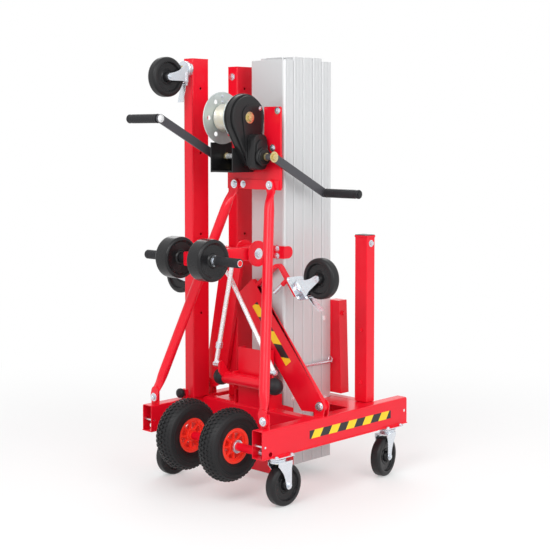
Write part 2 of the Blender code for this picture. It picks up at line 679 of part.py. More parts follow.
def carriage(under):
    """The lifting carriage: a tongue in the last section's slot, two tapered uprights and two cross bars."""
    front = MAST_FRONT
    z0, z1 = CARRIAGE_Z
    holder = slide_up("carriage_slide", 0, front, z0, under)
    neck, head = SLOT_NECK - GLIDE, SLOT_HEAD - GLIDE
    lip = front - SLOT_LIP - GLIDE
    tongue = [(neck, front + 0.004), (neck, lip), (head, lip), (head, front - SLOT_DEPTH + GLIDE)]
    body = extruded([tongue + [(-x, y) for x, y in reversed(tongue)]], "Z", z0 + 0.02, z1 - 0.02)
    joined = [box((-MAST_HALF, MAST_HALF), (front + GLIDE, front + 0.006), (z0 + 0.001, z1 - 0.001))]
    cut = []
    for side in (1, -1):
        upright = [(side * 0.066, z0), (side * 0.138, z0), (side * 0.126, z1), (side * 0.072, z1)]
        joined.append(extruded([upright], "Y", front + 0.004, front + 0.050))
        joined.append(cylinder((side * 0.120, front + 0.026, 0.610), (side * 0.137, front + 0.026, 0.610), 0.009, 8))
        pocket = [(side * 0.074, z0 + 0.008), (side * 0.130, z0 + 0.008), (side * 0.119, z1 - 0.008),
                  (side * 0.079, z1 - 0.008)]
        cut.append(extruded([pocket], "Y", front + 0.014, front + 0.060))
    for low in (z0 + 0.040, z1 - 0.100):
        joined.append(box((-0.0735, 0.0735), (front + 0.005, front + 0.040), (low, low + 0.050)))
    piece("carriage", RED, body, joined, cut, on=holder)


def lock_rod():
    y0, y1 = MAST_REAR + 0.034, MAST_FRONT - 0.006
    x, z = MAST_HALF + 0.0125, 0.425
    rod = cylinder((x, y0, z), (x, y1, z), 0.006, 10)
    joined = [box((MAST_HALF + GAP, x + 0.004), (y0 - 0.010, y0 + 0.010), (z - 0.014, z + 0.014)),
              cylinder((x - 0.004, y1 - 0.010, z + 0.004), (x + 0.006, y1 - 0.010, z + 0.004), 0.013, 10)]
    hole = cylinder((x - 0.012, y1 - 0.010, z + 0.010), (x + 0.012, y1 - 0.010, z + 0.010), 0.005, 8)
    piece("transport_lock_rod", ZINC, rod, joined, [hole])


# Winch

def winch_mount():
    x, (z0, z1) = MOUNT_HALF, MOUNT_Z
    left, right, low = -0.1135, 0.056, 1.232
    web = extruded([[(-x, z0), (x, z0), (x, z1), (right, z1), (right, low), (left, low), (left, z1), (-x, z1)]],
                   "Y", MOUNT_Y, MOUNT_Y + MOUNT_T)
    joined = [box((-0.080, 0.080), (MOUNT_Y + 0.003, MAST_REAR - GAP), (z0 + 0.004, 1.225)),
              box((-0.134, 0.134), (CROSSBAR_Y, MOUNT_Y + 0.001), (z0 + 0.001, z0 + 0.036))]
    for side in (1, -1):
        joined.append(box(sorted((side * (x - 0.004), side * (x - 0.001))), (MOUNT_Y + 0.001, MOUNT_Y + 0.010),
                          (z0 + 0.002, z1 - 0.002)))
    for bx, bz, face in ((0.125, 1.385, MOUNT_Y), (0.100, 1.250, MOUNT_Y), (-0.050, 1.114, CROSSBAR_Y)):
        joined.append(hexagon((bx, face + 0.001, bz), (bx, face - 0.006, bz), 0.013))
    piece("winch_mount", RED, web, joined)


def shaft_bore(x0, x1):
    return cylinder((x0, CRANK_Y, CRANK_Z), (x1, CRANK_Y, CRANK_Z), CRANK_SHAFT_R + RUN, 12)


def winch_frame():
    """The two side plates, the back and base plates, and the fixed axle the drum turns on."""
    drum, shaft = (DRUM_Y, DRUM_Z), (CRANK_Y, CRANK_Z)
    right = extruded([capsule(drum, shaft, 0.055, 0.038)], "X", 0.002, 0.008)
    back, front, low = CROSSBAR_Y - 0.0055, CRANK_Y - 0.071, CRANK_Z - 0.058
    joined = [box((0.0024, 0.0076), (front, back + 0.001), (low, CRANK_Z + 0.032)),
              box((FRAME_LEFT - FRAME_SHEET, FRAME_LEFT), (front, back + 0.001), (low - 0.0005, CRANK_Z + 0.052)),
              box((FRAME_LEFT - FRAME_SHEET + 0.001, 0.007), (back, CROSSBAR_Y - GAP), (low + 0.001, CRANK_Z + 0.0135)),
              box((FRAME_LEFT - FRAME_SHEET + 0.0015, 0.0065), (front + 0.0008, CROSSBAR_Y - 0.002),
                  (low + 0.0003, low + FRAME_SHEET)),
              cylinder((0.004, *drum), (DRUM_LEFT - 0.007, *drum), DRUM_AXLE_R, 12),
              hexagon((DRUM_LEFT - GAP, *drum), (DRUM_LEFT - 0.0085, *drum), 0.030)]
    piece("winch_frame", BLACK, right, joined, [shaft_bore(-0.140, 0.012)])


def gear_cover():
    drum, shaft = (DRUM_Y, DRUM_Z), (CRANK_Y, CRANK_Z)
    x0, x1 = COVER_X
    big, small = COVER_R
    wall = 0.004
    body = extruded([capsule(drum, shaft, big, small, 8)], "X", x0, x1 - wall)
    y0, y1, z0, z1 = DRUM_Y - 0.035, CRANK_Y + 0.036, CRANK_Z - small + wall, DRUM_Z + 0.046
    plate = [(y0, z0), (y1, z0), (y1, z1), *arc((y0 + 0.040, z1 - 0.040), 0.040, 90, 180, 5)]
    joined = [extruded([plate], "X", x1 - wall - 0.0005, x1),
              hexagon((x1 - 0.001, *drum), (x1 + 0.010, *drum), 0.026)]
    pocket = extruded([capsule(drum, shaft, big - wall, small - wall, 8)], "X", x0 - 0.005, x1 - 2 * wall)
    piece("gear_cover", BLACK, body, joined, [pocket, shaft_bore(x0, x1 + 0.010)])


def brake_housing():
    x0, x1 = BRAKE_X
    body = extruded([rounded(*BRAKE_SIZE, 0.022, 3, (CRANK_Y - 0.002, CRANK_Z + BRAKE_RISE))], "X", x0, x0 + 0.034)
    shaft = (CRANK_Y, CRANK_Z)
    joined = [cylinder((x0 + 0.030, *shaft), (x1, *shaft), 0.029, 14),
              cylinder((x0 + 0.038, *shaft), (x0 + 0.046, *shaft), 0.0335, 14)]
    piece("brake_housing", BLACK, body, joined, [shaft_bore(x0 - 0.010, x1 + 0.010)])


def cable_drum(under):
    """The drum with its wound cable, drawn as ridges."""
    middle = (DRUM_LEFT + DRUM_RIGHT) / 2
    half = (DRUM_RIGHT - DRUM_LEFT) / 2
    inner = half - DRUM_SHEET
    turns = 5
    coil = []
    for number in range(turns):
        top = inner - 2 * inner * number / turns
        coil += [(CABLE_COIL_R - 0.003, top), (CABLE_COIL_R, top - inner / turns)]
    coil.append((CABLE_COIL_R - 0.003, -inner))
    profile = [(DRUM_AXLE_R + RUN, half), (INNER_FLANGE_R, half), (INNER_FLANGE_R, inner), *coil, (FLANGE_R, -inner),
               (FLANGE_R, -half), (DRUM_AXLE_R + RUN, -half)]
    spin = pivot("cable_drum_spin", (middle, DRUM_Y, DRUM_Z), (1, 0, 0), under)
    cut = []
    for y, z in arc((DRUM_Y, DRUM_Z), 0.078, 18, 18 + 288, 4):
        cut.append(cylinder((DRUM_LEFT - 0.003, y, z), (DRUM_LEFT + 0.007, y, z), 0.008, 10))
    piece("cable_drum", BLACK, turned(profile, (middle, DRUM_Y, DRUM_Z), "X", 22), (), cut, on=spin)


def crank():
    """The crank shaft with its two arms, and a loose grip on each."""
    spin = pivot("crank_spin", (0, CRANK_Y, CRANK_Z), (-1, 0, 0))
    shaft = (CRANK_Y, CRANK_Z)
    right_step, left_step = BRAKE_X[1] + 0.001, FRAME_LEFT - FRAME_SHEET - 0.001
    right_arm, left_arm = CRANK_X[1], -CRANK_X[-1]
    profile = [(0.0, right_arm), (0.0125, right_arm), (0.0125, right_step), (CRANK_SHAFT_R, right_step),
               (CRANK_SHAFT_R, left_step), (0.0125, left_step), (0.0125, left_arm), (0.0, left_arm)]
    body = turned(profile, (0, *shaft), "X", 12)
    joined = []
    grips = []
    for side, name in ((1, "right"), (-1, "left")):
        tilt = math.radians(CRANK_TILT)
        end = (CRANK_Y + side * CRANK_REACH * math.cos(tilt), CRANK_Z - side * CRANK_REACH * math.sin(tilt))
        arm = CRANK_X[side]
        tip = arm + GRIP_START + GRIP_LENGTH
        low, high = sorted((side * (arm - ARM_T / 2), side * (arm + ARM_T / 2)))
        joined.append(extruded([capsule(shaft, end, ARM_W / 2)], "X", low, high))
        joined.append(hexagon((side * (arm + 0.003), *shaft), (side * (arm + 0.013), *shaft), 0.022))
        joined.append(cylinder((side * arm, *end), (side * (tip + 0.002), *end), 0.006, 10))
        joined.append(cylinder((side * (tip + GAP), *end), (side * (tip + GRIP_CAP_T), *end), 0.011, 10))
        grips.append((name, side * (arm + GRIP_START + GRIP_LENGTH / 2), end))
    piece("crank", BLACK, body, joined, on=spin)
    half = GRIP_LENGTH / 2
    for name, middle, end in grips:
        roll = pivot(f"{name}_crank_grip_spin", (middle, *end), (1, 0, 0), spin)
        profile = [(0.0066, half), (GRIP_R - 0.003, half), (GRIP_R, half - 0.003), (GRIP_R - 0.0012, 0.02),
                   (GRIP_R - 0.0012, -0.02), (GRIP_R, 0.003 - half), (GRIP_R - 0.003, -half), (0.0066, -half)]
        piece(f"{name}_crank_grip", BLACK, turned(profile, (middle, *end), "X", 14), on=roll)


# Loading arm and rest bar

def arm_bracket():
    hinge = (HINGE_Y, HINGE_Z)
    body = cylinder((-0.0395, *hinge), (0.0395, *hinge), 0.010, 12)
    strap = MAST_HALF + GAP + 0.004
    low, high = HINGE_Z + BRACKET_Z[0], HINGE_Z + BRACKET_Z[1]
    round_end = (high - low) / 2 - 0.0007
    joined = [box((-strap, strap), (MAST_REAR - 0.0043, MAST_REAR - GAP), (low, high))]
    for side in (1, -1):
        joined.append(cylinder((side * 0.031, *hinge), (side * (0.031 + DISC_T), *hinge), DISC_R, 18))
        joined.append(box(sorted((side * 0.0318, side * 0.0382)), (HINGE_Y + 0.015, MAST_REAR - 0.002),
                          (low + 0.001, high - 0.001)))
        joined.append(hexagon((side * 0.038, *hinge), (side * 0.047, *hinge), 0.026))
        wing = [(MAST_REAR - 0.003, low + 0.0007), *arc((-0.0295, (low + high) / 2), round_end, -90, 90, 6),
                (MAST_REAR - 0.003, high - 0.0007)]
        joined.append(extruded([wing], "X", *sorted((side * (MAST_HALF + GAP), side * (strap - 0.0006)))))
        for z in (low + 0.010, high - 0.010):
            face = MAST_REAR - 0.003
            joined.append(hexagon((side * 0.056, face, z), (side * 0.056, face - 0.0065, z), 0.011))
    joined.append(cylinder((-0.038, -0.172, HINGE_Z + 0.002), (-0.0425, -0.172, HINGE_Z + 0.002), 0.007, 10))
    piece("arm_bracket", RED, body, joined)


def roller_arm():
    hinge = (HINGE_Y, HINGE_Z)
    swing = pivot("roller_arm_swing", (0, *hinge), (-1, 0, 0))
    half = ARM_TUBE / 2
    body = extruded([rounded(ARM_TUBE, ARM_TUBE, 0.006, 2, (0, HINGE_Z)),
                     rounded(ARM_TUBE - 0.006, ARM_TUBE - 0.006, 0.003, 1, (0, HINGE_Z))],
                    "Y", ROLLER_Y - 0.018, HINGE_Y - 0.015)
    bar = (ROLLER_Y, HINGE_Z)
    joined = [cylinder((-0.030, *hinge), (0.030, *hinge), 0.030, 14),
              cylinder((-BAR_HALF, *bar), (BAR_HALF, *bar), BAR_R, 12)]
    roller = (ROLLER_X - ROLLER_W / 2, ROLLER_X + ROLLER_W / 2)
    for side in (1, -1):
        joined.append(cylinder((side * (half - 0.001), *bar), (side * (roller[0] - GAP), *bar), 0.018, 12))
        joined.append(cylinder((side * (roller[1] + GAP), *bar), (side * (roller[1] + 0.0035), *bar), 0.0185, 12))
        joined.append(cylinder((side * 0.130, *bar), (side * (BAR_HALF - 0.002), *bar), 0.0165, 12))
    bore = cylinder((-0.035, *hinge), (0.035, *hinge), 0.0106, 12)
    piece("roller_arm", RED, body, joined, [bore], on=swing)
    for side, name in ((1, "right"), (-1, "left")):
        spin = pivot(f"{name}_roller_spin", (side * ROLLER_X, *bar), (1, 0, 0), swing)
        wide = ROLLER_W / 2
        profile = [(BAR_R + RUN, wide), (0.026, wide), (0.030, wide - 0.005), (0.056, wide - 0.005),
                   (0.060, wide), (ROLLER_R - 0.005, wide), (ROLLER_R, wide - 0.006)]
        profile = profile + [(r, -h) for r, h in reversed(profile)]
        piece(f"{name}_roller", BLACK, turned(profile, (side * ROLLER_X, *bar), "X", 20), on=spin)


def rest_bar():
    low = CROSS_TOP + GAP
    rear = -0.130
    channel = extruded([[(-0.075, rear), (0.075, rear), (0.075, -0.0905), (0.070, -0.0905), (0.070, rear + 0.005),
                         (-0.070, rear + 0.005), (-0.070, -0.0905), (-0.075, -0.0905)]], "Z", low, 0.500)
    bar = (REST_Y, REST_Z)
    joined = [cylinder((-REST_HALF - 0.018, *bar), (REST_HALF + 0.018, *bar), REST_R, 14),
              box((REST_LUG_X - 0.0075, REST_LUG_X), (-0.168, -0.140), (REST_Z + 0.002, REST_Z + 0.064)),
              box((-REST_LUG_X, 0.0075 - REST_LUG_X), (-0.197, -0.148), (REST_Z + 0.0023, REST_Z + 0.068))]
    for side in (1, -1):
        joined.append(box(sorted((side * 0.066, side * 0.0735)), (-0.162, rear + 0.002), (REST_Z - 0.030, REST_Z + 0.030)))
        joined.append(ball((side * (REST_HALF + 0.020), *bar), BALL_R))
    piece("rest_bar", RED, channel, joined)


def stay_rods():
    start, end = Vector((-0.0523, -0.172, HINGE_Z + 0.002)), Vector((-0.1375, -0.185, REST_Z + 0.053))
    run = end - start
    rod = cylinder(start, end, ROD_R, 10)
    collar = (0.80, 0.86)       # its two ends, as shares of the rod
    joined = [cylinder(start + run * collar[0], start + run * collar[1], 0.0125, 10),
              cylinder((-0.0428, *start[1:]), (-0.058, *start[1:]), 0.0115, 10),
              cylinder((-REST_LUG_X - GAP, *end[1:]), (-0.142, *end[1:]), 0.0115, 10)]
    piece("stay_rod_1", ZINC, rod, joined)
    low = (0.1375, -0.152, REST_Z + 0.050)
    joined = [cylinder((REST_LUG_X + GAP, *low[1:]), (0.142, *low[1:]), 0.0115, 10)]
    piece("stay_rod_2", ZINC, tube([low, (-0.100, -0.152, 0.770), (-0.158, -0.179, 0.842)], ROD_R, 2), joined)


# Outriggers

def outrigger(side, name):
    y0, y1 = OUT_Y
    inner, outer = OUT_EDGES
    top = OUT_LENGTH

    def p(along, across):
        return out_point(side, along, across)

    def edge(along, across):
        return p(along, across - OUT_SKEW * along)

    swing = pivot(f"{name}_swing", (side * OUT_PIVOT[0], (y0 + y1) / 2, OUT_PIVOT[1]), (0, side, 0))
    outline = [p(-0.019, -0.008), p(-0.008, -0.030), edge(0.036, inner), edge(top - 0.004, inner),
               edge(top, inner + 0.004), edge(top, outer - 0.004), edge(top - 0.004, outer), edge(0.016, outer),
               p(-0.012, 0.016), p(-0.019, 0.006)]
    leg = extruded([outline], "Y", y0, y1)
    drop, high = OUT_DROP, top - STRAP_DOWN
    bend = 0.026
    strap = [p(high - STRAP_T, -0.020), p(high, -0.020), p(high, drop - bend)]
    strap += [p(high - bend + u, drop - bend + v) for u, v in arc((0, 0), bend, 18, 90, 4)]
    strap += [p(top - OUT_CASTER_DOWN - 0.025, drop), p(top - OUT_CASTER_DOWN - 0.025, drop - STRAP_T)]
    strap += [p(high - bend + u, drop - bend + v) for u, v in arc((0, 0), bend - STRAP_T, 90, 0, 4)]
    across = Vector((side * math.cos(math.radians(OUT_LEAN[side])), 0, math.sin(math.radians(OUT_LEAN[side]))))
    along = Vector((-side * math.sin(math.radians(OUT_LEAN[side])), 0, math.cos(math.radians(OUT_LEAN[side]))))
    x, z = p(top - OUT_CASTER_DOWN, drop)
    seat = seat_at(Vector((x, OUT_CASTER_Y, z)), across, -along)
    pin_y = (y0 + y1) / 2

    def pin_point(reach):
        px, pz = p(top - OUT_PIN_DOWN, reach)
        return (px, pin_y, pz)

    joined = [extruded([strap], "Y", y0 + 0.0007, y0 + STRAP_W), *caster_plate(seat),
              cylinder(pin_point(0.112), pin_point(drop - 0.003), 0.0092, 12)]
    cut = [cylinder((side * OUT_PIVOT[0], y0 - 0.010, OUT_PIVOT[1]), (side * OUT_PIVOT[0], y1 + 0.010, OUT_PIVOT[1]),
                    PIVOT_R + RUN, 10),
           cylinder(pin_point(0.105), pin_point(PIN_REACH[1] + 0.001), PIN_R + RUN, 10)]
    piece(f"{name}_leg", RED, leg, joined, cut, on=swing)
    caster(name, seat, swing, pedal=True)
    pull = pivot(f"{name}_lock_pin_slide", pin_point(PIN_REACH[0]), -across, swing)
    pin = cylinder(pin_point(PIN_REACH[0]), pin_point(PIN_REACH[1]), PIN_R, 10)
    head = cylinder(pin_point(PIN_REACH[0]), pin_point(PIN_REACH[0] + 0.012), 0.0085, 10)
    piece(f"{name}_lock_pin", ZINC, pin, [head], on=pull)


# Stowed long legs, forks and plunger

def upright_tube(corner, width, depth, wall, low, high):
    middle = (corner[0] + width / 2, corner[1] + depth / 2)
    return extruded([rounded(width, depth, 0.004, 2, middle),
                     rounded(width - 2 * wall, depth - 2 * wall, 0.002, 1, middle)], "Z", low, high)


def long_leg(number, corner, low, high, facing):
    holder = slide_up(f"long_leg_{number}_slide", corner[0] + LEG_X / 2, corner[1] + LEG_Y / 2, low)
    body = upright_tube(corner, LEG_X, LEG_Y, LEG_WALL, low, high)
    y = corner[1] if facing < 0 else corner[1] + LEG_Y
    seat = seat_at(Vector((corner[0] + LEG_X / 2, y, high - LEG_CASTER_DROP)), (0, facing, 0), (0, 0, -1))
    inset = 0.0008
    joined = [box((corner[0] + inset, corner[0] + LEG_X - inset), (corner[1] + inset, corner[1] + LEG_Y - inset),
                  (high - 0.003, high + 0.002)), *caster_plate(seat, round_plate=True)]
    face, middle = corner[0] + LEG_X, corner[1] + LEG_Y / 2
    cut = [cylinder((face - 0.010, middle, z), (face + 0.010, middle, z), 0.005, 10) for z in LEG_HOLES]
    piece(f"long_leg_{number}", RED, body, joined, cut, on=holder)
    caster(f"long_leg_{number}", seat, holder, pedal=True)


def fork(side, name):
    x, y = FORK_CORNER
    corner = (x if side > 0 else -x - FORK_X, y)
    low = BEAM_TOP + 0.0005
    holder = slide_up(f"{name}_fork_slide", side * (x + FORK_X / 2), y + FORK_Y / 2, low)
    body = upright_tube(corner, FORK_X, FORK_Y, LEG_WALL, low, FORK_TOP - CAP_T)
    joined = [box((corner[0] - 0.0006, corner[0] + FORK_X + 0.0006), (y - 0.0006, y + FORK_Y + 0.0006),
                  (FORK_TOP - CAP_T - 0.001, FORK_TOP))]
    middle = side * (x + FORK_X / 2)
    for z in (0.360, 0.560):
        joined.append(hexagon((middle, y + 0.001, z), (middle, y - 0.006, z), 0.013))
    piece(f"{name}_fork", RED, body, joined, on=holder)


def plunger():
    pull = pivot("plunger_pull", (KNOB_X, -0.205, KNOB_Z), (0, -1, 0))
    profile = [(0.0, 0.012), (0.013, 0.012), (0.0185, 0.006), (0.0185, -0.006), (0.013, -0.012), (0.0, -0.012)]
    knob = turned(profile, (KNOB_X, -0.2345, KNOB_Z), "Y", 18)
    pin = cylinder((KNOB_X, -0.235, KNOB_Z), (KNOB_X, LEG1_CORNER[1] - GAP, KNOB_Z), KNOB_PIN_R, 10)
    piece("plunger", BLACK, knob, [pin], on=pull)


# The whole lift

for lift_side, lift_word in ((1, "right"), (-1, "left")):
    side_beam(lift_side, f"{lift_word}_beam")
    stay_strut(lift_side, f"{lift_word}_stay_strut")
    pneumatic_wheel(f"{lift_word}_pneumatic_wheel", lift_side * WHEEL_X)
    for lift_end in BASE_CASTERS:
        caster(f"{lift_end}_{lift_word}_caster", base_seat(lift_side, lift_end))
    outrigger(lift_side, f"{lift_word}_outrigger")
    fork(lift_side, lift_word)
cross_members()
wheel_axle()
raised = None
for section in range(5):
    raised = mast_section(section, raised)
carriage(raised)
lock_rod()
winch_mount()
winch_frame()
gear_cover()
brake_housing()
cable_drum(FRAME)
crank()
arm_bracket()
roller_arm()
rest_bar()
stay_rods()
long_leg(1, LEG1_CORNER, BEAM_TOP + GAP, LEG1_TOP, -1)
long_leg(2, LEG2_CORNER, CROSS_TOP + 0.003 + GAP, LEG2_TOP, 1)
plunger()
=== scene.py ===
"""Material lift: the dressed scene.

Shapes are given in the chassis frame, in metres: +X is the operator's right, -Y the winch side, and X and Y
are zero in the middle between the side beams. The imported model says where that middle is.
"""

import json
import math

import bmesh
import bpy
from mathutils import Matrix, Vector


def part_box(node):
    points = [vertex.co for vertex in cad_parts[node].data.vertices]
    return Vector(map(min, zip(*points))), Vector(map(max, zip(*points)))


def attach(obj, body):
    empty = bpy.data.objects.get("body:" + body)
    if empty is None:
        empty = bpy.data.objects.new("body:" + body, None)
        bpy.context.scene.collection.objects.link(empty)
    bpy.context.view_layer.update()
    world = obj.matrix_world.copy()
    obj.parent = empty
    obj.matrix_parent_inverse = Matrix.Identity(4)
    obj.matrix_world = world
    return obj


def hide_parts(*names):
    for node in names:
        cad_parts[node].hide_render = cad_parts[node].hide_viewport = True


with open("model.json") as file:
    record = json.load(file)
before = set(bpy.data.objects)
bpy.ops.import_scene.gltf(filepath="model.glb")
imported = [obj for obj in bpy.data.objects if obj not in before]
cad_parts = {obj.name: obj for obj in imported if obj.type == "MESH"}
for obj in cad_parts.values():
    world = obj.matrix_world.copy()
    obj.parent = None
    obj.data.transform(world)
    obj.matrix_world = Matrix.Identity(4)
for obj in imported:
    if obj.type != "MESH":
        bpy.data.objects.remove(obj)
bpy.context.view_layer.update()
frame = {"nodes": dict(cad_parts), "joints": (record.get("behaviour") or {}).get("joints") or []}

JOINTS = {joint["name"]: joint for joint in frame["joints"]}
RIGHT_BEAM, LEFT_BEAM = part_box("right_beam"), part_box("left_beam")
ORIGIN = Vector(((RIGHT_BEAM[1].x + LEFT_BEAM[0].x) / 2, (RIGHT_BEAM[0].y + RIGHT_BEAM[1].y) / 2, 0))


def joint_at(name):
    """The Y and Z of a hinge, in chassis coordinates."""
    place = Vector(JOINTS[name]["pos_m"]) - ORIGIN
    return place.y, place.z


# Sizes, as in the solids
BEAM_X, BEAM_W, BEAM_Z = 0.293, 0.050, (0.186, 0.286)
MAST_HALF, MAST_REAR = 0.0875, -0.050
AXLE = (-0.354, 0.200)
WHEEL_X = 0.1135
DRUM = joint_at("drum_turn")
DRUM_X, FLANGE_R, INNER_FLANGE_R, COIL_R = (-0.096, -0.002), 0.097, 0.082, 0.052
SHAFT = joint_at("crank_turn")
CRANK_X = {1: 0.145, -1: 0.160}     # middle of the right and the left arm
CRANK_REACH, CRANK_TILT = 0.305, math.radians(27)
GRIP_START, GRIP_LENGTH = 0.0105, 0.165
MOUNT_Y, CROSSBAR_Y = -0.122, -0.126
HINGE = joint_at("roller_arm_tilt")
BRACKET_Z = (HINGE[1] - 0.022, HINGE[1] + 0.025)
ROLLER_Y, ROLLER_X, ROLLER_W = -0.428, 0.084, 0.065
REST = (-0.154, 0.382)
OUT_PIVOT, OUT_Y = (0.300, 0.322), (-0.080, -0.062)
OUT_LEAN = {1: math.radians(39.0), -1: math.radians(9.5)}
OUT_CASTER, OUT_PIN, OUT_DROP = 0.407, 0.454, 0.151
OUT_SKEW = 0.030        # how much the leg runs on towards the mast, per metre of its length
CASTER_R, CASTER_H, TRAIL = 0.075, 0.186, 0.032
CROWN = -0.024
LEG_SIZE = (0.050, 0.083)
LEGS = {1: ((-0.310, -0.190), 1.586), 2: ((-0.2045, -0.058), 1.556)}
FORK_SIZE, FORK_CORNER, FORK_TOP = (0.060, 0.048), (0.212, 0.2075), 0.919
EDGE = 0.0012           # how much a sheet or tube edge is rounded
ROUND_ABOVE = math.radians(32)      # edges sharper than this are rounded in a Piece
CREASE_ABOVE = math.radians(38)     # and those sharper than this are shaded sharp
SOFTEN_ABOVE = math.radians(34)     # both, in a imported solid's own shape


# Materials

class Wire:
    """One output of a shader node, with the sums that are done on it."""

    def __init__(self, tree, socket):
        self.tree, self.socket = tree, socket

    def math(self, operation, other=0.5, swap=False):
        pair = (other, self) if swap else (self, other)
        return self.tree.add("Math", {"operation": operation}, pair)

    def __add__(self, other):
        return self.math("ADD", other)

    __radd__ = __add__

    def __mul__(self, other):
        return self.math("MULTIPLY", other)

    __rmul__ = __mul__

    def __sub__(self, other):
        return self.math("SUBTRACT", other)

    def __rsub__(self, other):
        return self.math("SUBTRACT", other, swap=True)

    def over(self, level):
        return self.math("GREATER_THAN", level)


class Paint:
    """A material, or a world, and its node tree."""

    def __init__(self, name, block=None, shader="Principled BSDF", **values):
        self.material = block or bpy.data.materials.new(name)
        self.material.use_nodes = True
        self.nodes, self.links = self.material.node_tree.nodes, self.material.node_tree.links
        self.shader = self.nodes[shader]
        self.set(**values)

    def set(self, **values):
        for name, value in values.items():
            socket = self.shader.inputs[name.replace("_", " ")]
            if isinstance(value, Wire):
                self.links.new(value.socket, socket)
            else:
                socket.default_value = (*value, 1) if isinstance(value, tuple) and len(value) == 3 else value

    def add(self, kind, settings=None, inputs=(), output=0):
        """Any node: its settings first, then the values or links of its sockets, by place or by name."""
        node = self.nodes.new("ShaderNode" + kind)
        for name, value in (settings or {}).items():
            setattr(node, name, value)
        pairs = inputs.items() if isinstance(inputs, dict) else enumerate(inputs)
        for key, value in pairs:
            if isinstance(value, Wire):
                self.links.new(value.socket, node.inputs[key])
            elif value is not None:
                node.inputs[key].default_value = value
        return Wire(self, node.outputs[output])

    def place(self, scale=(1, 1, 1)):
        return self.add("Mapping", {}, {"Vector": self.add("TexCoord", output=3), "Scale": scale})

    def noise(self, where, scale, detail=3.0):
        return self.add("TexNoise", {}, {"Vector": where, "Scale": scale, "Detail": detail})

    def mix(self, factor, first, second):
        inputs = {0: factor}
        for key, value in ((6, first), (7, second)):
            inputs[key] = (*value, 1) if isinstance(value, tuple) else value
        return self.add("Mix", {"data_type": "RGBA"}, inputs, output=2)

    def bump(self, height, strength, distance):
        return self.add("Bump", {}, {"Height": height, "Strength": strength, "Distance": distance})


def powder_coat(name, colour, deep, rough=0.3):
    """Baked powder coat: fine orange peel, and a slightly deeper tone in broad clouds."""
    paint = Paint(name, Coat_Weight=0.12, Coat_Roughness=0.15, Specular_IOR_Level=0.3)
    where = paint.place()
    clouds = paint.noise(where, 6.0)
    peel = paint.noise(where, 900.0, 2.0)
    paint.set(Base_Color=paint.mix(clouds, deep, colour), Roughness=peel * 0.12 + (rough - 0.06),
              Normal=paint.bump(peel, 0.12, 0.0003))
    return paint.material


def drawn_aluminium(name, colour, rough=0.38):
    """Extruded aluminium: fine die lines along Z, which darken and roughen a little."""
    paint = Paint(name, Metallic=0.35)
    lines = paint.noise(paint.place((260, 260, 0.6)), 1.0, 4.0)
    broad = paint.noise(paint.place((38, 38, 0.15)), 1.0, 2.0)
    tone = paint.mix(broad * 0.6 + lines * 0.4, tuple(c * 0.93 for c in colour), colour)
    paint.set(Base_Color=tone, Roughness=lines * 0.14 + (rough - 0.07),
              Normal=paint.bump(lines, 0.15, 0.0003))
    return paint.material


def plated(name, colour, tint, rough=0.24, metallic=0.9):
    """Zinc plate, with faint blotches of its passivation colour."""
    paint = Paint(name, Metallic=metallic)
    blotch = paint.noise(paint.place(), 45.0)
    grain = paint.noise(paint.place(), 420.0, 2.0)
    paint.set(Base_Color=paint.mix(blotch, tint, colour),
              Roughness=blotch * 0.16 + grain * 0.1 + (rough - 0.12),
              Normal=paint.bump(grain, 0.08, 0.0003))
    return paint.material


def moulded(name, colour, rough=0.5, grain=700.0, depth=0.25):
    """Moulded plastic or rubber with a fine grain and a little dust in its tone."""
    paint = Paint(name, Specular_IOR_Level=0.28)
    fine = paint.noise(paint.place(), grain, 2.0)
    dust = paint.noise(paint.place(), 18.0)
    paint.set(Base_Color=paint.mix(dust, colour, tuple(c * 1.5 + 0.004 for c in colour)),
              Roughness=dust * 0.14 + fine * 0.1 + (rough - 0.12), Normal=paint.bump(fine, depth, 0.0003))
    return paint.material


def hazard_tape(name, weights, start, period):
    """Yellow and black stripes, each half a period wide, along a weighted sum of the coordinates."""
    paint = Paint(name, Coat_Weight=0.1, Coat_Roughness=0.2)
    where = paint.add("TexCoord", output=3)
    along = paint.add("VectorMath", {"operation": "DOT_PRODUCT"}, (where, weights), output=1)
    black = ((along - start) * (1 / period)).math("FRACT").over(0.5)
    wear = paint.noise(paint.place(), 260.0)
    yellow = paint.mix(wear, (0.96, 0.61, 0.003), (1.0, 0.68, 0.004))
    paint.set(Base_Color=paint.mix(black, yellow, (0.008, 0.008, 0.009)), Roughness=wear * 0.15 + 0.3)
    return paint.material


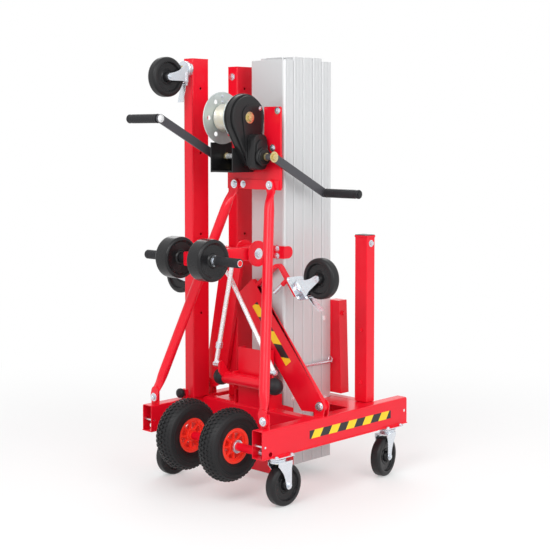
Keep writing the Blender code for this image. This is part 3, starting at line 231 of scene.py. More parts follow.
PAINTS = {
    "red": powder_coat("red_powder_coat", (0.88, 0.006, 0.026), (0.77, 0.004, 0.018)),
    "alloy": drawn_aluminium("drawn_aluminium", (0.66, 0.67, 0.68), 0.42),
    "zinc": plated("zinc_plate", (0.80, 0.83, 0.87), (0.66, 0.71, 0.77)),
    "chrome": plated("bright_steel", (0.93, 0.94, 0.95), (0.88, 0.89, 0.91), 0.26, 0.6),
    "gold": plated("yellow_zinc", (0.74, 0.60, 0.26), (0.62, 0.54, 0.34), 0.26),
    "steel": plated("drum_steel", (0.66, 0.71, 0.70), (0.52, 0.58, 0.57), 0.42, 0.6),
    "cable": plated("wire_rope", (0.70, 0.62, 0.42), (0.74, 0.76, 0.78), 0.40, 0.75),
    "black": powder_coat("black_coat", (0.013, 0.013, 0.014), (0.008, 0.008, 0.009), 0.40),
    "arm": powder_coat("crank_grey", (0.078, 0.077, 0.086), (0.056, 0.055, 0.063), 0.42),
    "grip": moulded("grip_plastic", (0.012, 0.012, 0.014), 0.5),
    "rubber": moulded("caster_rubber", (0.010, 0.010, 0.011), 0.42),
    "hub": moulded("black_hub_plastic", (0.009, 0.009, 0.010), 0.26, 600.0, 0.1),
    "tyre": moulded("tyre_rubber", (0.009, 0.009, 0.010), 0.50, 400.0, 0.4),
    "rim": moulded("red_rim_plastic", (0.90, 0.045, 0.024), 0.34, 500.0, 0.1),
    "cap": moulded("red_cap_plastic", (0.80, 0.016, 0.018), 0.45),
    "beam_tape": hazard_tape("beam_hazard_tape", (0, 1, -0.65), ORIGIN.y - 0.292, 0.093),
    "leg_tape": hazard_tape("outrigger_hazard_tape", (0, 0, 1), 0.522, 0.092),
}


# Shapes

TURNS = {
    "X": Matrix(((0, 0, 1, 0), (1, 0, 0, 0), (0, 1, 0, 0), (0, 0, 0, 1))),
    "Y": Matrix(((1, 0, 0, 0), (0, 0, -1, 0), (0, 1, 0, 0), (0, 0, 0, 1))),
    "Z": Matrix.Identity(4),
}


def arc(centre, radius, start, end, steps):
    angles = [math.radians(start + (end - start) * i / steps) for i in range(steps + 1)]
    return [(centre[0] + radius * math.cos(a), centre[1] + radius * math.sin(a)) for a in angles]


def circle(centre, radius, steps=28):
    return arc(centre, radius, 0, 360 * (steps - 1) / steps, steps - 1)


def rounded(width, height, radius, centre=(0, 0), steps=5):
    points = []
    for quarter, (sx, sy) in enumerate(((1, 1), (-1, 1), (-1, -1), (1, -1))):
        corner = (centre[0] + sx * (width / 2 - radius), centre[1] + sy * (height / 2 - radius))
        points += arc(corner, radius, 90 * quarter, 90 * quarter + 90, steps)
    return points


def capsule(a, b, radius_a, radius_b=None, steps=14):
    """The outline round two circles."""
    radius_b = radius_a if radius_b is None else radius_b
    way = math.degrees(math.atan2(b[1] - a[1], b[0] - a[0]))
    side = 90 - math.degrees(math.asin((radius_a - radius_b) / math.hypot(b[0] - a[0], b[1] - a[1])))
    around_a = arc(a, radius_a, way + side, way + 360 - side, steps * 2)
    return around_a + arc(b, radius_b, way - side, way + side, steps)


def filleted(points, radius, steps=5):
    """A route with its inner corners rounded off."""
    points = [Vector(p) for p in points]
    route = [points[0]]
    for before, corner, after in zip(points, points[1:], points[2:]):
        back, on = (before - corner).normalized(), (after - corner).normalized()
        cut = min(radius, (before - corner).length / 2, (after - corner).length / 2)
        for step in range(steps + 1):
            share = step / steps
            first, last = corner + back * cut * (1 - share), corner + on * cut * share
            route.append(first.lerp(last, share))
    return route + [points[-1]]


class Piece:
    """One visible piece, gathered from overlapping rounded shapes and then set on its body."""

    def __init__(self, name, body, slot, stands_for=(), at=Matrix.Identity(4)):
        self.name, self.body, self.slot, self.stands_for, self.at = name, body, slot, stands_for, at
        self.mesh = bmesh.new()
        self.paints = []

    def take(self, bm, paint, edge=0.0, place=Matrix.Identity(4)):
        if edge:
            sharp = [line for line in bm.edges
                     if len(line.link_faces) == 2 and line.calc_face_angle(0) > ROUND_ABOVE]
            bmesh.ops.bevel(bm, geom=sharp, offset=edge, segments=2, profile=0.6, affect="EDGES",
                            clamp_overlap=True)
        if paint not in self.paints:
            self.paints.append(paint)
        bmesh.ops.recalc_face_normals(bm, faces=bm.faces)
        for face in bm.faces:
            face.material_index = self.paints.index(paint)
            face.smooth = True
        bm.transform(self.at @ place)
        mesh = bpy.data.meshes.new("part")
        bm.to_mesh(mesh)
        bm.free()
        self.mesh.from_mesh(mesh)
        bpy.data.meshes.remove(mesh)
        return self

    def box(self, x, y, z, paint="red", edge=EDGE):
        bm = bmesh.new()
        bmesh.ops.create_cube(bm, size=1)
        spans = [sorted(pair) for pair in (x, y, z)]
        size = [high - low for low, high in spans]
        middle = [(low + high) / 2 for low, high in spans]
        bmesh.ops.transform(bm, matrix=Matrix.Translation(middle) @ Matrix.Diagonal((*size, 1)),
                            verts=bm.verts)
        return self.take(bm, paint, min(edge, min(size) * 0.4))

    def rod(self, start, end, radius, paint="zinc", sides=32, edge=0.0008, radius2=None):
        start, end = Vector(start), Vector(end)
        bm = bmesh.new()
        length = (end - start).length
        bmesh.ops.create_cone(bm, cap_ends=True, segments=sides, radius1=radius,
                              radius2=radius if radius2 is None else radius2, depth=length)
        turn = (end - start).to_track_quat("Z", "Y").to_matrix().to_4x4()
        place = Matrix.Translation((start + end) / 2) @ turn
        bmesh.ops.transform(bm, matrix=place, verts=bm.verts)
        return self.take(bm, paint, edge)

    def bolt(self, place, way, across=0.013, paint="zinc", height=0.006, washer=True):
        """A hexagon head with its washer and a short thread end, standing out along way."""
        place, way = Vector(place), Vector(way).normalized()
        if washer:
            self.rod(place - way * 0.001, place + way * 0.0015, across * 0.86, paint, 28, 0.0003)
        self.rod(place, place + way * height, across / math.sqrt(3), paint, 6, 0.0006)
        return self.rod(place, place + way * (height + 0.0015), across * 0.27, paint, 16, 0.0004)

    def flat(self, outlines, axis, low, high, paint="red", edge=0.0009):
        """Flat outlines, the first the outer one and the others holes, drawn out along an axis."""
        low, high = sorted((low, high))
        curve = bpy.data.curves.new("outline", "CURVE")
        curve.dimensions, curve.fill_mode, curve.extrude = "2D", "BOTH", (high - low) / 2
        for points in outlines:
            spline = curve.splines.new("POLY")
            spline.points.add(len(points) - 1)
            for point, (u, v) in zip(spline.points, points):
                point.co = (u, v, 0, 1)
            spline.use_cyclic_u = True
        drawn = bpy.data.objects.new("outline", curve)
        mesh = bpy.data.meshes.new_from_object(drawn)
        bpy.data.objects.remove(drawn)
        bm = bmesh.new()
        bm.from_mesh(mesh)
        bpy.data.meshes.remove(mesh)
        bmesh.ops.remove_doubles(bm, verts=bm.verts, dist=1e-6)
        bmesh.ops.dissolve_limit(bm, angle_limit=math.radians(1), verts=bm.verts, edges=bm.edges)
        middle = (low + high) / 2
        place = TURNS[axis] @ Matrix.Translation((0, 0, -middle if axis == "Y" else middle))
        bmesh.ops.transform(bm, matrix=place, verts=bm.verts)
        return self.take(bm, paint, edge)

    def lathe(self, profile, place, axis="X", paint="zinc", steps=48):
        """A closed (radius, height) outline turned about an axis."""
        bm = bmesh.new()
        verts = [bm.verts.new((r, 0, h)) for r, h in profile]
        edges = [bm.edges.new((a, b)) for a, b in zip(verts, verts[1:] + verts[:1]) if a != b]
        bmesh.ops.spin(bm, geom=verts + edges, cent=(0, 0, 0), axis=(0, 0, 1), angle=2 * math.pi, steps=steps,
                       use_merge=True)
        bmesh.ops.remove_doubles(bm, verts=bm.verts, dist=1e-6)
        bmesh.ops.transform(bm, matrix=Matrix.Translation(place) @ TURNS[axis], verts=bm.verts)
        return self.take(bm, paint)

    def bent(self, points, radius, paint="zinc", fillet=0.012, sides=6):
        """A round bar along a route with rounded corners."""
        route = filleted(points, fillet) if len(points) > 2 else points
        curve = bpy.data.curves.new("route", "CURVE")
        curve.dimensions, curve.use_fill_caps = "3D", True
        curve.bevel_depth, curve.bevel_resolution = radius, sides
        spline = curve.splines.new("POLY")
        spline.points.add(len(route) - 1)
        for point, co in zip(spline.points, route):
            point.co = (*co, 1)
        drawn = bpy.data.objects.new("route", curve)
        mesh = bpy.data.meshes.new_from_object(drawn)
        bpy.data.objects.remove(drawn)
        bm = bmesh.new()
        bm.from_mesh(mesh)
        bpy.data.meshes.remove(mesh)
        return self.take(bm, paint)

    def ball(self, centre, radius, paint="grip"):
        bm = bmesh.new()
        bmesh.ops.create_uvsphere(bm, u_segments=40, v_segments=24, radius=radius)
        bmesh.ops.transform(bm, matrix=Matrix.Translation(centre), verts=bm.verts)
        return self.take(bm, paint)

    def done(self):
        mesh = bpy.data.meshes.new(self.name)
        self.mesh.to_mesh(mesh)
        self.mesh.free()
        mesh.transform(Matrix.Translation(ORIGIN))
        for paint in self.paints:
            mesh.materials.append(PAINTS[paint])
        mesh.set_sharp_from_angle(angle=CREASE_ABOVE)
        obj = bpy.data.objects.new(self.name, mesh)
        bpy.context.scene.collection.objects.link(obj)
        shade_evenly(obj)
        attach(obj, self.body)
        if self.stands_for:
            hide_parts(*self.stands_for)
        return obj


def mirrored(half):
    """A closed lathe outline from its upper half."""
    return [*half, *[(radius, -height) for radius, height in reversed(half)]]


def span(side, low, high):
    return sorted((side * low, side * high))


def shade_evenly(obj):
    """Keeps flat faces flat beside their rounded edges."""
    even = obj.modifiers.new("Even shading", "WEIGHTED_NORMAL")
    even.keep_sharp, even.weight = True, 80


def softened(node, body, paint, edge=0.0007):
    """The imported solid's own shape, with its sheet edges rounded."""
    mesh = bpy.data.meshes.new(f"{node}_coated")
    bm = bmesh.new()
    bm.from_mesh(frame["nodes"][node].data)
    bmesh.ops.remove_doubles(bm, verts=bm.verts, dist=1e-6)
    bmesh.ops.dissolve_limit(bm, angle_limit=math.radians(0.5), verts=bm.verts, edges=bm.edges)
    for face in bm.faces:
        face.smooth = True
        face.material_index = 0
    bm.to_mesh(mesh)
    bm.free()
    mesh.materials.clear()
    mesh.materials.append(PAINTS[paint])
    mesh.set_sharp_from_angle(angle=SOFTEN_ABOVE)
    obj = bpy.data.objects.new(f"{node}_coated", mesh)
    bpy.context.scene.collection.objects.link(obj)
    bevel = obj.modifiers.new("Rounded edges", "BEVEL")
    bevel.width, bevel.segments, bevel.limit_method = edge, 2, "ANGLE"
    bevel.angle_limit, bevel.use_clamp_overlap = SOFTEN_ABOVE, False
    shade_evenly(obj)
    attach(obj, body)
    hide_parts(node)
    return obj


# Casters, in a frame whose origin is the middle of the seat, the wheel below and trailing to +Y

def seat_at(place, down, trail):
    up, back = -Vector(down).normalized(), Vector(trail).normalized()
    turn = Matrix((back.cross(up), back, up)).transposed().to_4x4()
    return Matrix.Translation(place) @ turn


def caster(name, seat, pedal=False):
    axle = (0, TRAIL, CASTER_R - CASTER_H)
    inner, outer = 0.0240, 0.0280
    fork = Piece(f"{name}_fork_dressed", f"{name}_fork_body", "zinc_plate", [f"{name}_fork"], seat)
    fork.lathe([(0.0, -0.0104), (0.0285, -0.0104), (0.0318, -0.0130), (0.0318, -0.0165), (0.0290, -0.0185),
                (0.0290, -0.0200), (0.0315, -0.0215), (0.0315, -0.0245), (0.0, -0.0245)], (0, 0, 0), "Z",
                "zinc", 48)
    deck = [(-outer + 0.001, 0.049), *arc((0, 0), outer - 0.001, 180, 360, 20), (outer - 0.001, 0.049)]
    fork.flat([deck], "Z", CROWN - 0.004, CROWN + 0.001, "zinc", 0.0012)
    leg = [(-0.018, CROWN + 0.0006), (0.050, CROWN + 0.0006), (0.0503, CROWN - 0.012), (0.046, CROWN - 0.026)]
    leg += arc(axle[1:], 0.0135, 5, -165, 16)
    leg += [(0.013, CROWN - 0.062), (0.006, CROWN - 0.044), (-0.006, CROWN - 0.028), (-0.018, CROWN - 0.014)]
    for side in (1, -1):
        fork.flat([leg], "X", side * inner, side * outer, "zinc", 0.0009)
        fork.rod((side * (inner + 0.0005), 0.012, CROWN - 0.010),
                 (side * (inner + 0.0005), 0.046, CROWN - 0.010),
                 0.004, "zinc", 16)
        fork.bolt((side * outer, *axle[1:]), (side, 0, 0), 0.0145, "zinc", 0.0055)
    fork.rod((-inner - 0.001, *axle[1:]), (inner + 0.001, *axle[1:]), 0.005, "zinc")
    fork.bolt((0, 0, CROWN - 0.004), (0, 0, -1), 0.016, "gold", 0.006)
    if pedal:
        for side in (1, -1):
            fork.box(span(side, 0.0178, 0.0215), (0.040, 0.0625), (CROWN - 0.0075, CROWN + 0.004), "zinc")
    fork.done()

    wheel = Piece(f"{name}_wheel_dressed", f"{name}_wheel_body", "wheel_rubber", [f"{name}_wheel"], seat)
    half = [(0.058, 0.0196), (0.0635, 0.0200), (0.0690, 0.0186), (0.0728, 0.0160), (0.0745, 0.0128),
            (0.0750, 0.0090)]
    wheel.lathe(mirrored(half), axle, "X", "rubber", 56)
    half = [(0.0056, 0.0100), (0.0240, 0.0100), (0.0262, 0.0122), (0.0290, 0.0122), (0.0310, 0.0100),
            (0.0520, 0.0112), (0.0545, 0.0150), (0.0560, 0.0192), (0.0592, 0.0194)]
    wheel.lathe(mirrored(half), axle, "X", "hub", 48)
    half = [(0.0056, 0.0236), (0.0125, 0.0236), (0.0165, 0.0222), (0.0195, 0.0160), (0.0215, 0.0095)]
    wheel.lathe(mirrored(half), axle, "X", "hub", 36)
    wheel.done()
    if not pedal:
        return
    z = CROWN - 0.002
    brake = Piece(f"{name}_brake_dressed", f"{name}_pedal_body", "zinc_plate", [f"{name}_brake_pedal"], seat)
    back = 0.0555
    profile = [(back, z + 0.0026), (back + 0.030, z - 0.001), (back + 0.050, z - 0.0062),
               (back + 0.066, z - 0.0098),
               (back + 0.070, z - 0.0106), (back + 0.070, z - 0.0136), (back + 0.049, z - 0.0094),
               (back + 0.029, z - 0.0042), (back, z - 0.0010)]
    brake.flat([profile], "X", -0.015, 0.015, "zinc", 0.0008)
    for along in (0.044, 0.050, 0.056, 0.062):
        drop = -0.0048 - (along - 0.044) * 0.24
        brake.rod((-0.011, back + along, z + drop), (0.011, back + along, z + drop),
                  0.0011, "zinc", 10, 0.0003)
    brake.rod((-0.0175, back, z), (0.0175, back, z), 0.0045, "zinc", 20)
    brake.done()


def seat_plate(name, body, seat, round_plate=False, corners=()):
    """The fixed half of a caster's swivel, with its plate and bolts where it has one."""
    plate = Piece(f"{name}_seat", body, "zinc_plate", (), seat)
    plate.lathe([(0.0, 0.0006), (0.0300, 0.0006), (0.0306, -0.0040), (0.0300, -0.0095), (0.0, -0.0095)],
                (0, 0, 0), "Z", "zinc", 48)
    if not round_plate:
        plate.flat([rounded(0.0856, 0.1006, 0.010)], "Z", -0.0040, -0.0002, "zinc", 0.0006)
    for x, y, way in corners:
        plate.bolt((x, y, 0 if way > 0 else -0.0040), (0, 0, way), 0.0115, "zinc", 0.0050)
    plate.done()


# Base

def out_point(side, along, across):
    lean, (x, z) = OUT_LEAN[side], OUT_PIVOT
    return (side * (x - along * math.sin(lean) + across * math.cos(lean)),
            z + along * math.cos(lean) + across * math.sin(lean))


def base_details(side, word):
    """Fasteners, pivot bolts and casters of one side beam."""
    outer = side * (BEAM_X + BEAM_W / 2)
    bits = Piece(f"{word}_beam_fasteners", "chassis", "zinc_plate")
    rear, front = OUT_Y[0] - 0.0053, OUT_Y[1] + 0.0053
    x, z = side * OUT_PIVOT[0], OUT_PIVOT[1]
    bits.rod((x, rear + 0.0005, z), (x, rear - 0.0015, z), 0.0170, "zinc", 40, 0.0004)
    bits.rod((x, rear + 0.0005, z), (x, rear - 0.0104, z), 0.0131, "zinc", 40, 0.0018)
    bits.rod((x, rear - 0.0090, z), (x, rear - 0.0112, z), 0.0080, "zinc", 6, 0.0005)
    bits.bolt((x, front, z), (0, 1, 0), 0.019, "zinc", 0.0065)
    bits.bolt((outer - side * 0.0445, AXLE[0], AXLE[1]), (side, 0, 0), 0.018, "zinc", 0.0120)
    bits.rod((outer - side * 0.048, -0.381, 0.229), (outer + side * 0.0015, -0.381, 0.229),
             0.0042, "zinc", 20)
    bits.done()
    for end, (y, yaw) in {"rear": (-0.297, 0.0), "front": (0.308, 192.0)}.items():
        square = Matrix.Translation((side * BEAM_X, y, BEAM_Z[0]))
        seat = square @ Matrix.Rotation(math.radians(side * yaw), 4, "Z")
        corners = [(side * 0.0345, 0.038, 1), (side * 0.0345, -0.038, 1), (-side * 0.0345, 0.038, 1),
                   (-side * 0.0345, -0.038, 1)]
        seat_plate(f"{end}_{word}_caster", "chassis", square, corners=corners)
        caster(f"{end}_{word}_caster", seat)


def beam_tape():
    tape = Piece("right_beam_tape", "chassis", "red_powder_coat")
    x = BEAM_X + BEAM_W / 2
    tape.box((x - 0.0005, x + 0.0003), (-0.1575, 0.2976), (0.2200, 0.2495), "beam_tape", 0.0001)
    tape.done()


def wheel_axle():
    axle = Piece("wheel_axle_dressed", "chassis", "zinc_plate", ["wheel_axle"])
    y, z = AXLE
    inner = BEAM_X - BEAM_W / 2
    axle.rod((-inner - 0.023, y, z), (inner + 0.023, y, z), 0.0075, "zinc")
    near, far = WHEEL_X - 0.0378, WHEEL_X + 0.0378
    axle.rod((-near, y, z), (near, y, z), 0.0150, "red", 40, 0.0010)
    for side in (1, -1):
        axle.rod((side * (far + 0.0035), y, z), (side * (inner - 0.0003), y, z), 0.0150, "red", 40, 0.0010)
        axle.rod((side * far, y, z), (side * (far + 0.0040), y, z), 0.0240, "zinc", 40, 0.0006)
        axle.rod((side * far, y, z), (side * (far + 0.0060), y, z), 0.0185, "zinc", 40, 0.0006)
    axle.done()


def pneumatic_wheel(side, word):
    wheel = Piece(f"{word}_pneumatic_dressed", f"{word}_pneumatic", "pneumatic_tyre",
                  [f"{word}_pneumatic_wheel"])
    centre = Vector((side * WHEEL_X, *AXLE))
    wall = [(0.0600, 0.0285), (0.0640, 0.0320), (0.0720, 0.0375), (0.0830, 0.0413), (0.0940, 0.0425),
            (0.1040, 0.0412),
            (0.1110, 0.0385), (0.1125, 0.0395), (0.1150, 0.0385), (0.1180, 0.0345), (0.1225, 0.0275),
            (0.1255, 0.0180), (0.1268, 0.0060)]
    wheel.lathe([*wall, *[(r, -h) for r, h in reversed(wall)]], centre, "X", "tyre", 72)
    for radius, height in ((0.0755, 0.0392), (0.0985, 0.0424)):
        for way in (1, -1):
            wheel.lathe([(radius - 0.0013, way * (height - 0.001)),
                         (radius - 0.0006, way * (height + 0.0008)),
                         (radius + 0.0006, way * (height + 0.0008)),
                         (radius + 0.0013, way * (height - 0.001))],
                        centre, "X", "tyre", 72)
    rows = ((0.0, 0.0070, 0.0045, 0.1287, 0.5),
            (0.0150, 0.0060, 0.0046, 0.1270, 0.0), (-0.0150, 0.0060, 0.0046, 0.1270, 0.0),
            (0.0285, 0.0062, 0.0042, 0.1215, 0.5), (-0.0285, 0.0062, 0.0042, 0.1215, 0.5))
    count = 44
    blocks = bmesh.new()
    for across, half_across, half_along, radius, phase in rows:
        slope = math.radians(-across * 1150)
        for number in range(count):
            made = bmesh.ops.create_cube(blocks, size=1)["verts"]
            turn = Matrix.Rotation(2 * math.pi * (number + phase) / count, 4, "X")
            lean = Matrix.Rotation(math.radians(45), 4, "Z")
            place = turn @ Matrix.Translation((across, 0, radius)) @ Matrix.Rotation(-slope, 4, "Y") @ lean
            place = place @ Matrix.Diagonal((half_across * 1.5, half_along * 2.1, 0.0050, 1))
            bmesh.ops.transform(blocks, matrix=place, verts=made)
    wheel.take(blocks, "tyre", 0.0007, Matrix.Translation(centre))

    half = [(0.0505, 0.0240), (0.0515, 0.0290), (0.0560, 0.0318), (0.0605, 0.0325), (0.0635, 0.0312),
            (0.0640, 0.0275),
            (0.0590, 0.0230)]
    wheel.lathe(mirrored(half), centre, "X", "rim", 64)
    for way in (1, -1):
        windows = []
        for number in range(8):
            low, high = 45 * number + 4.0, 45 * number + 41.0
            windows.append(arc((0, 0), 0.0468, low, high, 8) + arc((0, 0), 0.0252, high - 5, low + 5, 6))
        disc = [circle((0, 0), 0.0520, 64), *windows]
        turned = [[(u + centre.y, v + centre.z) for u, v in outline] for outline in disc]
        x = centre.x + way * 0.0170
        wheel.flat(turned, "X", x - 0.0035, x + 0.0035, "rim", 0.0009)
        wheel.lathe([(0.0180, 0.0), (0.0180, way * 0.0275), (0.0222, way * 0.0275), (0.0235, way * 0.0262),
                     (0.0235, 0.0)],
                    centre, "X", "rim", 48)
        for number in range(8):
            turn = Matrix.Translation(centre) @ Matrix.Rotation(math.radians(45 * number), 4, "X")
            rib = bmesh.new()
            bmesh.ops.create_cube(rib, size=1)
            spoke = Matrix.Diagonal((0.0080, 0.0260, 0.0032, 1))
            shape = Matrix.Translation((way * 0.0205, 0.0355, 0)) @ spoke
            bmesh.ops.transform(rib, matrix=shape, verts=rib.verts)
            wheel.take(rib, "rim", 0.0008, turn)
        hub = Vector((way, 0, 0))
        wheel.rod(centre + hub * 0.0200, centre + hub * 0.0374, 0.0165, "rim", 40, 0.0012)
    wheel.lathe([(0.0460, -0.0230), (0.0520, -0.0240), (0.0520, 0.0240), (0.0460, 0.0230)],
                centre, "X", "rim", 56)
    wheel.done()


def stay_strut(side, word):
    """A round stay whose two ends are pressed flat and bolted."""
    strut = Piece(f"{word}_strut_dressed", "chassis", "red_powder_coat", [f"{word}_stay_strut"])
    top = Vector((side * 0.0925, CROSSBAR_Y - 0.0033, 1.114))
    foot = Vector((side * 0.290, -0.361, 0.312))
    run = (foot - top).normalized()
    flat_run = Vector((run.x, 0, run.z)).normalized()
    across = Vector((flat_run.z, 0, -flat_run.x))
    outward = run.cross(across)
    if outward.y < 0:
        outward = -outward
    # Distance from the bolt, half the thickness, and how far the middle has turned into the tube's own line
    pressed = ((0.018, 0.0030, 0.0), (0.030, 0.0036, 0.35), (0.042, 0.0058, 0.75), (0.054, 0.0098, 0.95),
               (0.068, 0.0145, 1.0), (0.084, 0.0178, 1.0), (0.100, 0.0188, 1.0))
    stations = [(top, flat_run, run, *entry) for entry in pressed]
    stations += [(foot, -flat_run, -run, *entry) for entry in reversed(pressed)]
    bm = bmesh.new()
    rings = []
    for end, straight, way, at, thick, bend in stations:
        middle = end + straight * at * (1 - bend) + way * at * bend
        deep = Vector((0, 1, 0)).lerp(outward, bend).normalized()
        wide = 0.0190 + 0.0014 * (1 - thick / 0.0188)
        ring = []
        for step in range(32):
            angle = 2 * math.pi * step / 32
            reach = across * wide * math.cos(angle) + deep * thick * math.sin(angle)
            ring.append(bm.verts.new(middle + reach))
        rings.append(ring)
    for low, high in zip(rings, rings[1:]):
        for step in range(32):
            bm.faces.new((low[step], low[(step + 1) % 32], high[(step + 1) % 32], high[step]))
    bm.faces.new(rings[0])
    bm.faces.new(rings[-1])
    strut.take(bm, "red")
    for end, way in ((top, flat_run), (foot, -flat_run)):
        far = end + way * 0.022
        strut.flat([capsule((end.x, end.z), (far.x, far.z), 0.0203)],
                   "Y", end.y - 0.003, end.y + 0.003, "red", 0.0010)
        strut.bolt(end + Vector((0, -0.003, 0)), (0, -1, 0), 0.0185, "zinc", 0.0085)
    strut.done()


# Winch

def cable_drum():
    """The drum: two flanges, the left one with six holes, and two layers of wound rope."""
    drum = Piece("cable_drum_dressed", "drum", "zinc_plate", ["cable_drum"])
    left, right = DRUM_X
    holes = [circle((DRUM[0] + 0.068 * math.cos(a), DRUM[1] + 0.068 * math.sin(a)), 0.0088, 28)
             for a in [math.radians(60 * n) for n in range(6)]]
    bore = circle(DRUM, 0.0118, 28)
    drum.flat([circle(DRUM, FLANGE_R - 0.0012, 96), bore, *holes], "X", left, left + 0.0030, "steel", 0.0009)
    drum.flat([circle(DRUM, INNER_FLANGE_R - 0.0012, 96), bore], "X", right - 0.0030, right, "steel", 0.0009)
    for x, way, edge in ((left, 1, FLANGE_R), (right, -1, INNER_FLANGE_R)):
        rim = [(edge - 0.0040, 0.0), (edge - 0.0008, -0.0004 * way), (edge, 0.0015 * way),
               (edge - 0.0008, 0.0036 * way), (edge - 0.0040, 0.0036 * way)]
        drum.lathe(rim, (x, *DRUM), "X", "steel", 96)
    drum.lathe([(0.0118, left + 0.002), (0.0440, left + 0.002), (0.0440, right - 0.002),
                (0.0118, right - 0.002)],
               (0, *DRUM), "X", "steel", 48)
    for reach in (0.0600, 0.0800):
        drum.bolt((left + 0.0030, DRUM[0], DRUM[1] + reach), (1, 0, 0), 0.0070, "zinc", 0.0035)
    rope = 0.0034
    turns, layers = 12, 2
    for layer in range(layers):
        radius = COIL_R - rope - (layers - 1 - layer) * rope * 1.8
        route = []
        wide = right - left - 0.0075 - 2 * rope
        for step in range(turns * 28 + 1):
            share = step / (turns * 28)
            angle = 2 * math.pi * turns * share + layer
            route.append((left + 0.00375 + rope + wide * share, DRUM[0] + radius * math.cos(angle),
                          DRUM[1] + radius * math.sin(angle)))
        drum.bent(route, rope, "cable", 0.0, 3)
    drum.done()


def gear_cover():
    """A deep drawn cover in two steps, with a flat bearing plate on it."""
    cover = Piece("gear_cover_dressed", "chassis", "black_coat", ["gear_cover"])
    x0, x1 = 0.0085, 0.0500
    for big, small, low, high, edge in ((0.0880, 0.0380, x0, x0 + 0.0050, 0.0012),
                                        (0.0862, 0.0362, x0, x0 + 0.0260, 0.0050),
                                        (0.0790, 0.0310, x0 + 0.0200, x1 - 0.0036, 0.0040)):
        cover.flat([capsule(DRUM, SHAFT, big, small, 40)], "X", low, high, "black", edge)
    rear, front, low, high = DRUM[0] - 0.035, SHAFT[0] + 0.036, SHAFT[1] - 0.034, DRUM[1] + 0.046
    plate = [(SHAFT[0] - 0.034, low), (front, low), (front, high),
             *arc((rear + 0.040, high - 0.040), 0.040, 90, 180, 12)]
    cover.flat([plate], "X", x1 - 0.0090, x1, "black", 0.0012)
    cover.bolt((x1, *DRUM), (1, 0, 0), 0.0250, "gold", 0.0095)
    for y, z in ((front - 0.009, high - 0.012), (front - 0.010, low + 0.012)):
        cover.bolt((x1, y, z), (1, 0, 0), 0.0090, "zinc", 0.0030)
    cover.done()


def brake_housing():
    """The brake's cast housing round the crank shaft."""
    brake = Piece("brake_housing_dressed", "chassis", "black_coat", ["brake_housing"])
    x0 = 0.0505
    middle = (SHAFT[0] - 0.002, SHAFT[1] + 0.017)
    brake.flat([rounded(0.068, 0.130, 0.024, middle, 10)], "X", x0, x0 + 0.0340, "black", 0.0060)
    brake.flat([rounded(0.070, 0.132, 0.025, middle, 10)], "X", x0, x0 + 0.0060, "black", 0.0014)
    brake.flat([rounded(0.069, 0.131, 0.0245, middle, 10)], "X", x0 + 0.0150, x0 + 0.0195, "black", 0.0014)
    brake.flat([capsule(SHAFT, (SHAFT[0], SHAFT[1] + 0.034), 0.0280)],
               "X", x0 + 0.0320, x0 + 0.0400, "black", 0.0030)
    brake.lathe([(0.0090, 0.028), (0.0300, 0.028), (0.0290, 0.036), (0.0335, 0.038), (0.0335, 0.0455),
                 (0.0290, 0.0470),
                 (0.0290, 0.0530), (0.0275, 0.0553), (0.0090, 0.0553)], (x0, *SHAFT), "X", "black", 56)
    for number in range(24):
        a = 2 * math.pi * number / 24
        spot = (0.0330 * math.cos(a) + SHAFT[0], 0.0330 * math.sin(a) + SHAFT[1])
        brake.rod((x0 + 0.0392, *spot), (x0 + 0.0444, *spot), 0.0013, "black", 10, 0.0002)
    brake.done()


def winch_frame():
    """The winch's two side plates with its back and base plates, and the fixed axle of the drum."""
    plates = Piece("winch_frame_dressed", "chassis", "black_coat", ["winch_frame"])
    left, sheet = -0.106, 0.006
    front, back, low = SHAFT[0] - 0.071, CROSSBAR_Y - 0.0055, SHAFT[1] - 0.058
    plates.flat([capsule(DRUM, SHAFT, 0.055, 0.038, 24)], "X", 0.0020, 0.0080, "black", 0.0008)
    plates.box((0.0024, 0.0076), (front, back + 0.001), (low, SHAFT[1] + 0.032), "black")
    plates.box((left - sheet, left), (front, back + 0.001), (low - 0.0005, SHAFT[1] + 0.052), "black")
    plates.box((left - sheet + 0.001, 0.007), (back, CROSSBAR_Y - 0.0003), (low + 0.001, SHAFT[1] + 0.0135),
               "black")
    plates.box((left - sheet + 0.0015, 0.0065), (front + 0.0008, CROSSBAR_Y - 0.002),
               (low + 0.0003, low + sheet), "black")
    plates.rod((0.0040, *DRUM), (DRUM_X[0] - 0.0070, *DRUM), 0.0105, "zinc", 40)
    plates.done()


def winch_mount():
    """The plate between mast and winch, cut out behind the drum, with its crossbar for the struts."""
    mount = Piece("winch_mount_dressed", "chassis", "red_powder_coat", ["winch_mount"])
    x, low, high = 0.139, 1.096, 1.400
    left, right, sill = -0.1135, 0.056, 1.232
    web = [(-x, low), (x, low), (x, high), (right, high), (right, sill), (left, sill), (left, high),
           (-x, high)]
    mount.flat([web], "Y", MOUNT_Y, MOUNT_Y + 0.0040, "red", 0.0008)
    mount.box((-0.080, 0.080), (MOUNT_Y + 0.003, MAST_REAR - 0.0003), (low + 0.004, 1.225))
    mount.box((-0.134, 0.134), (CROSSBAR_Y, MOUNT_Y + 0.001), (low + 0.001, low + 0.036))
    for side in (1, -1):
        mount.box(span(side, x - 0.004, x - 0.001), (MOUNT_Y + 0.001, MOUNT_Y + 0.010),
                  (low + 0.002, high - 0.002))
    mount.done()


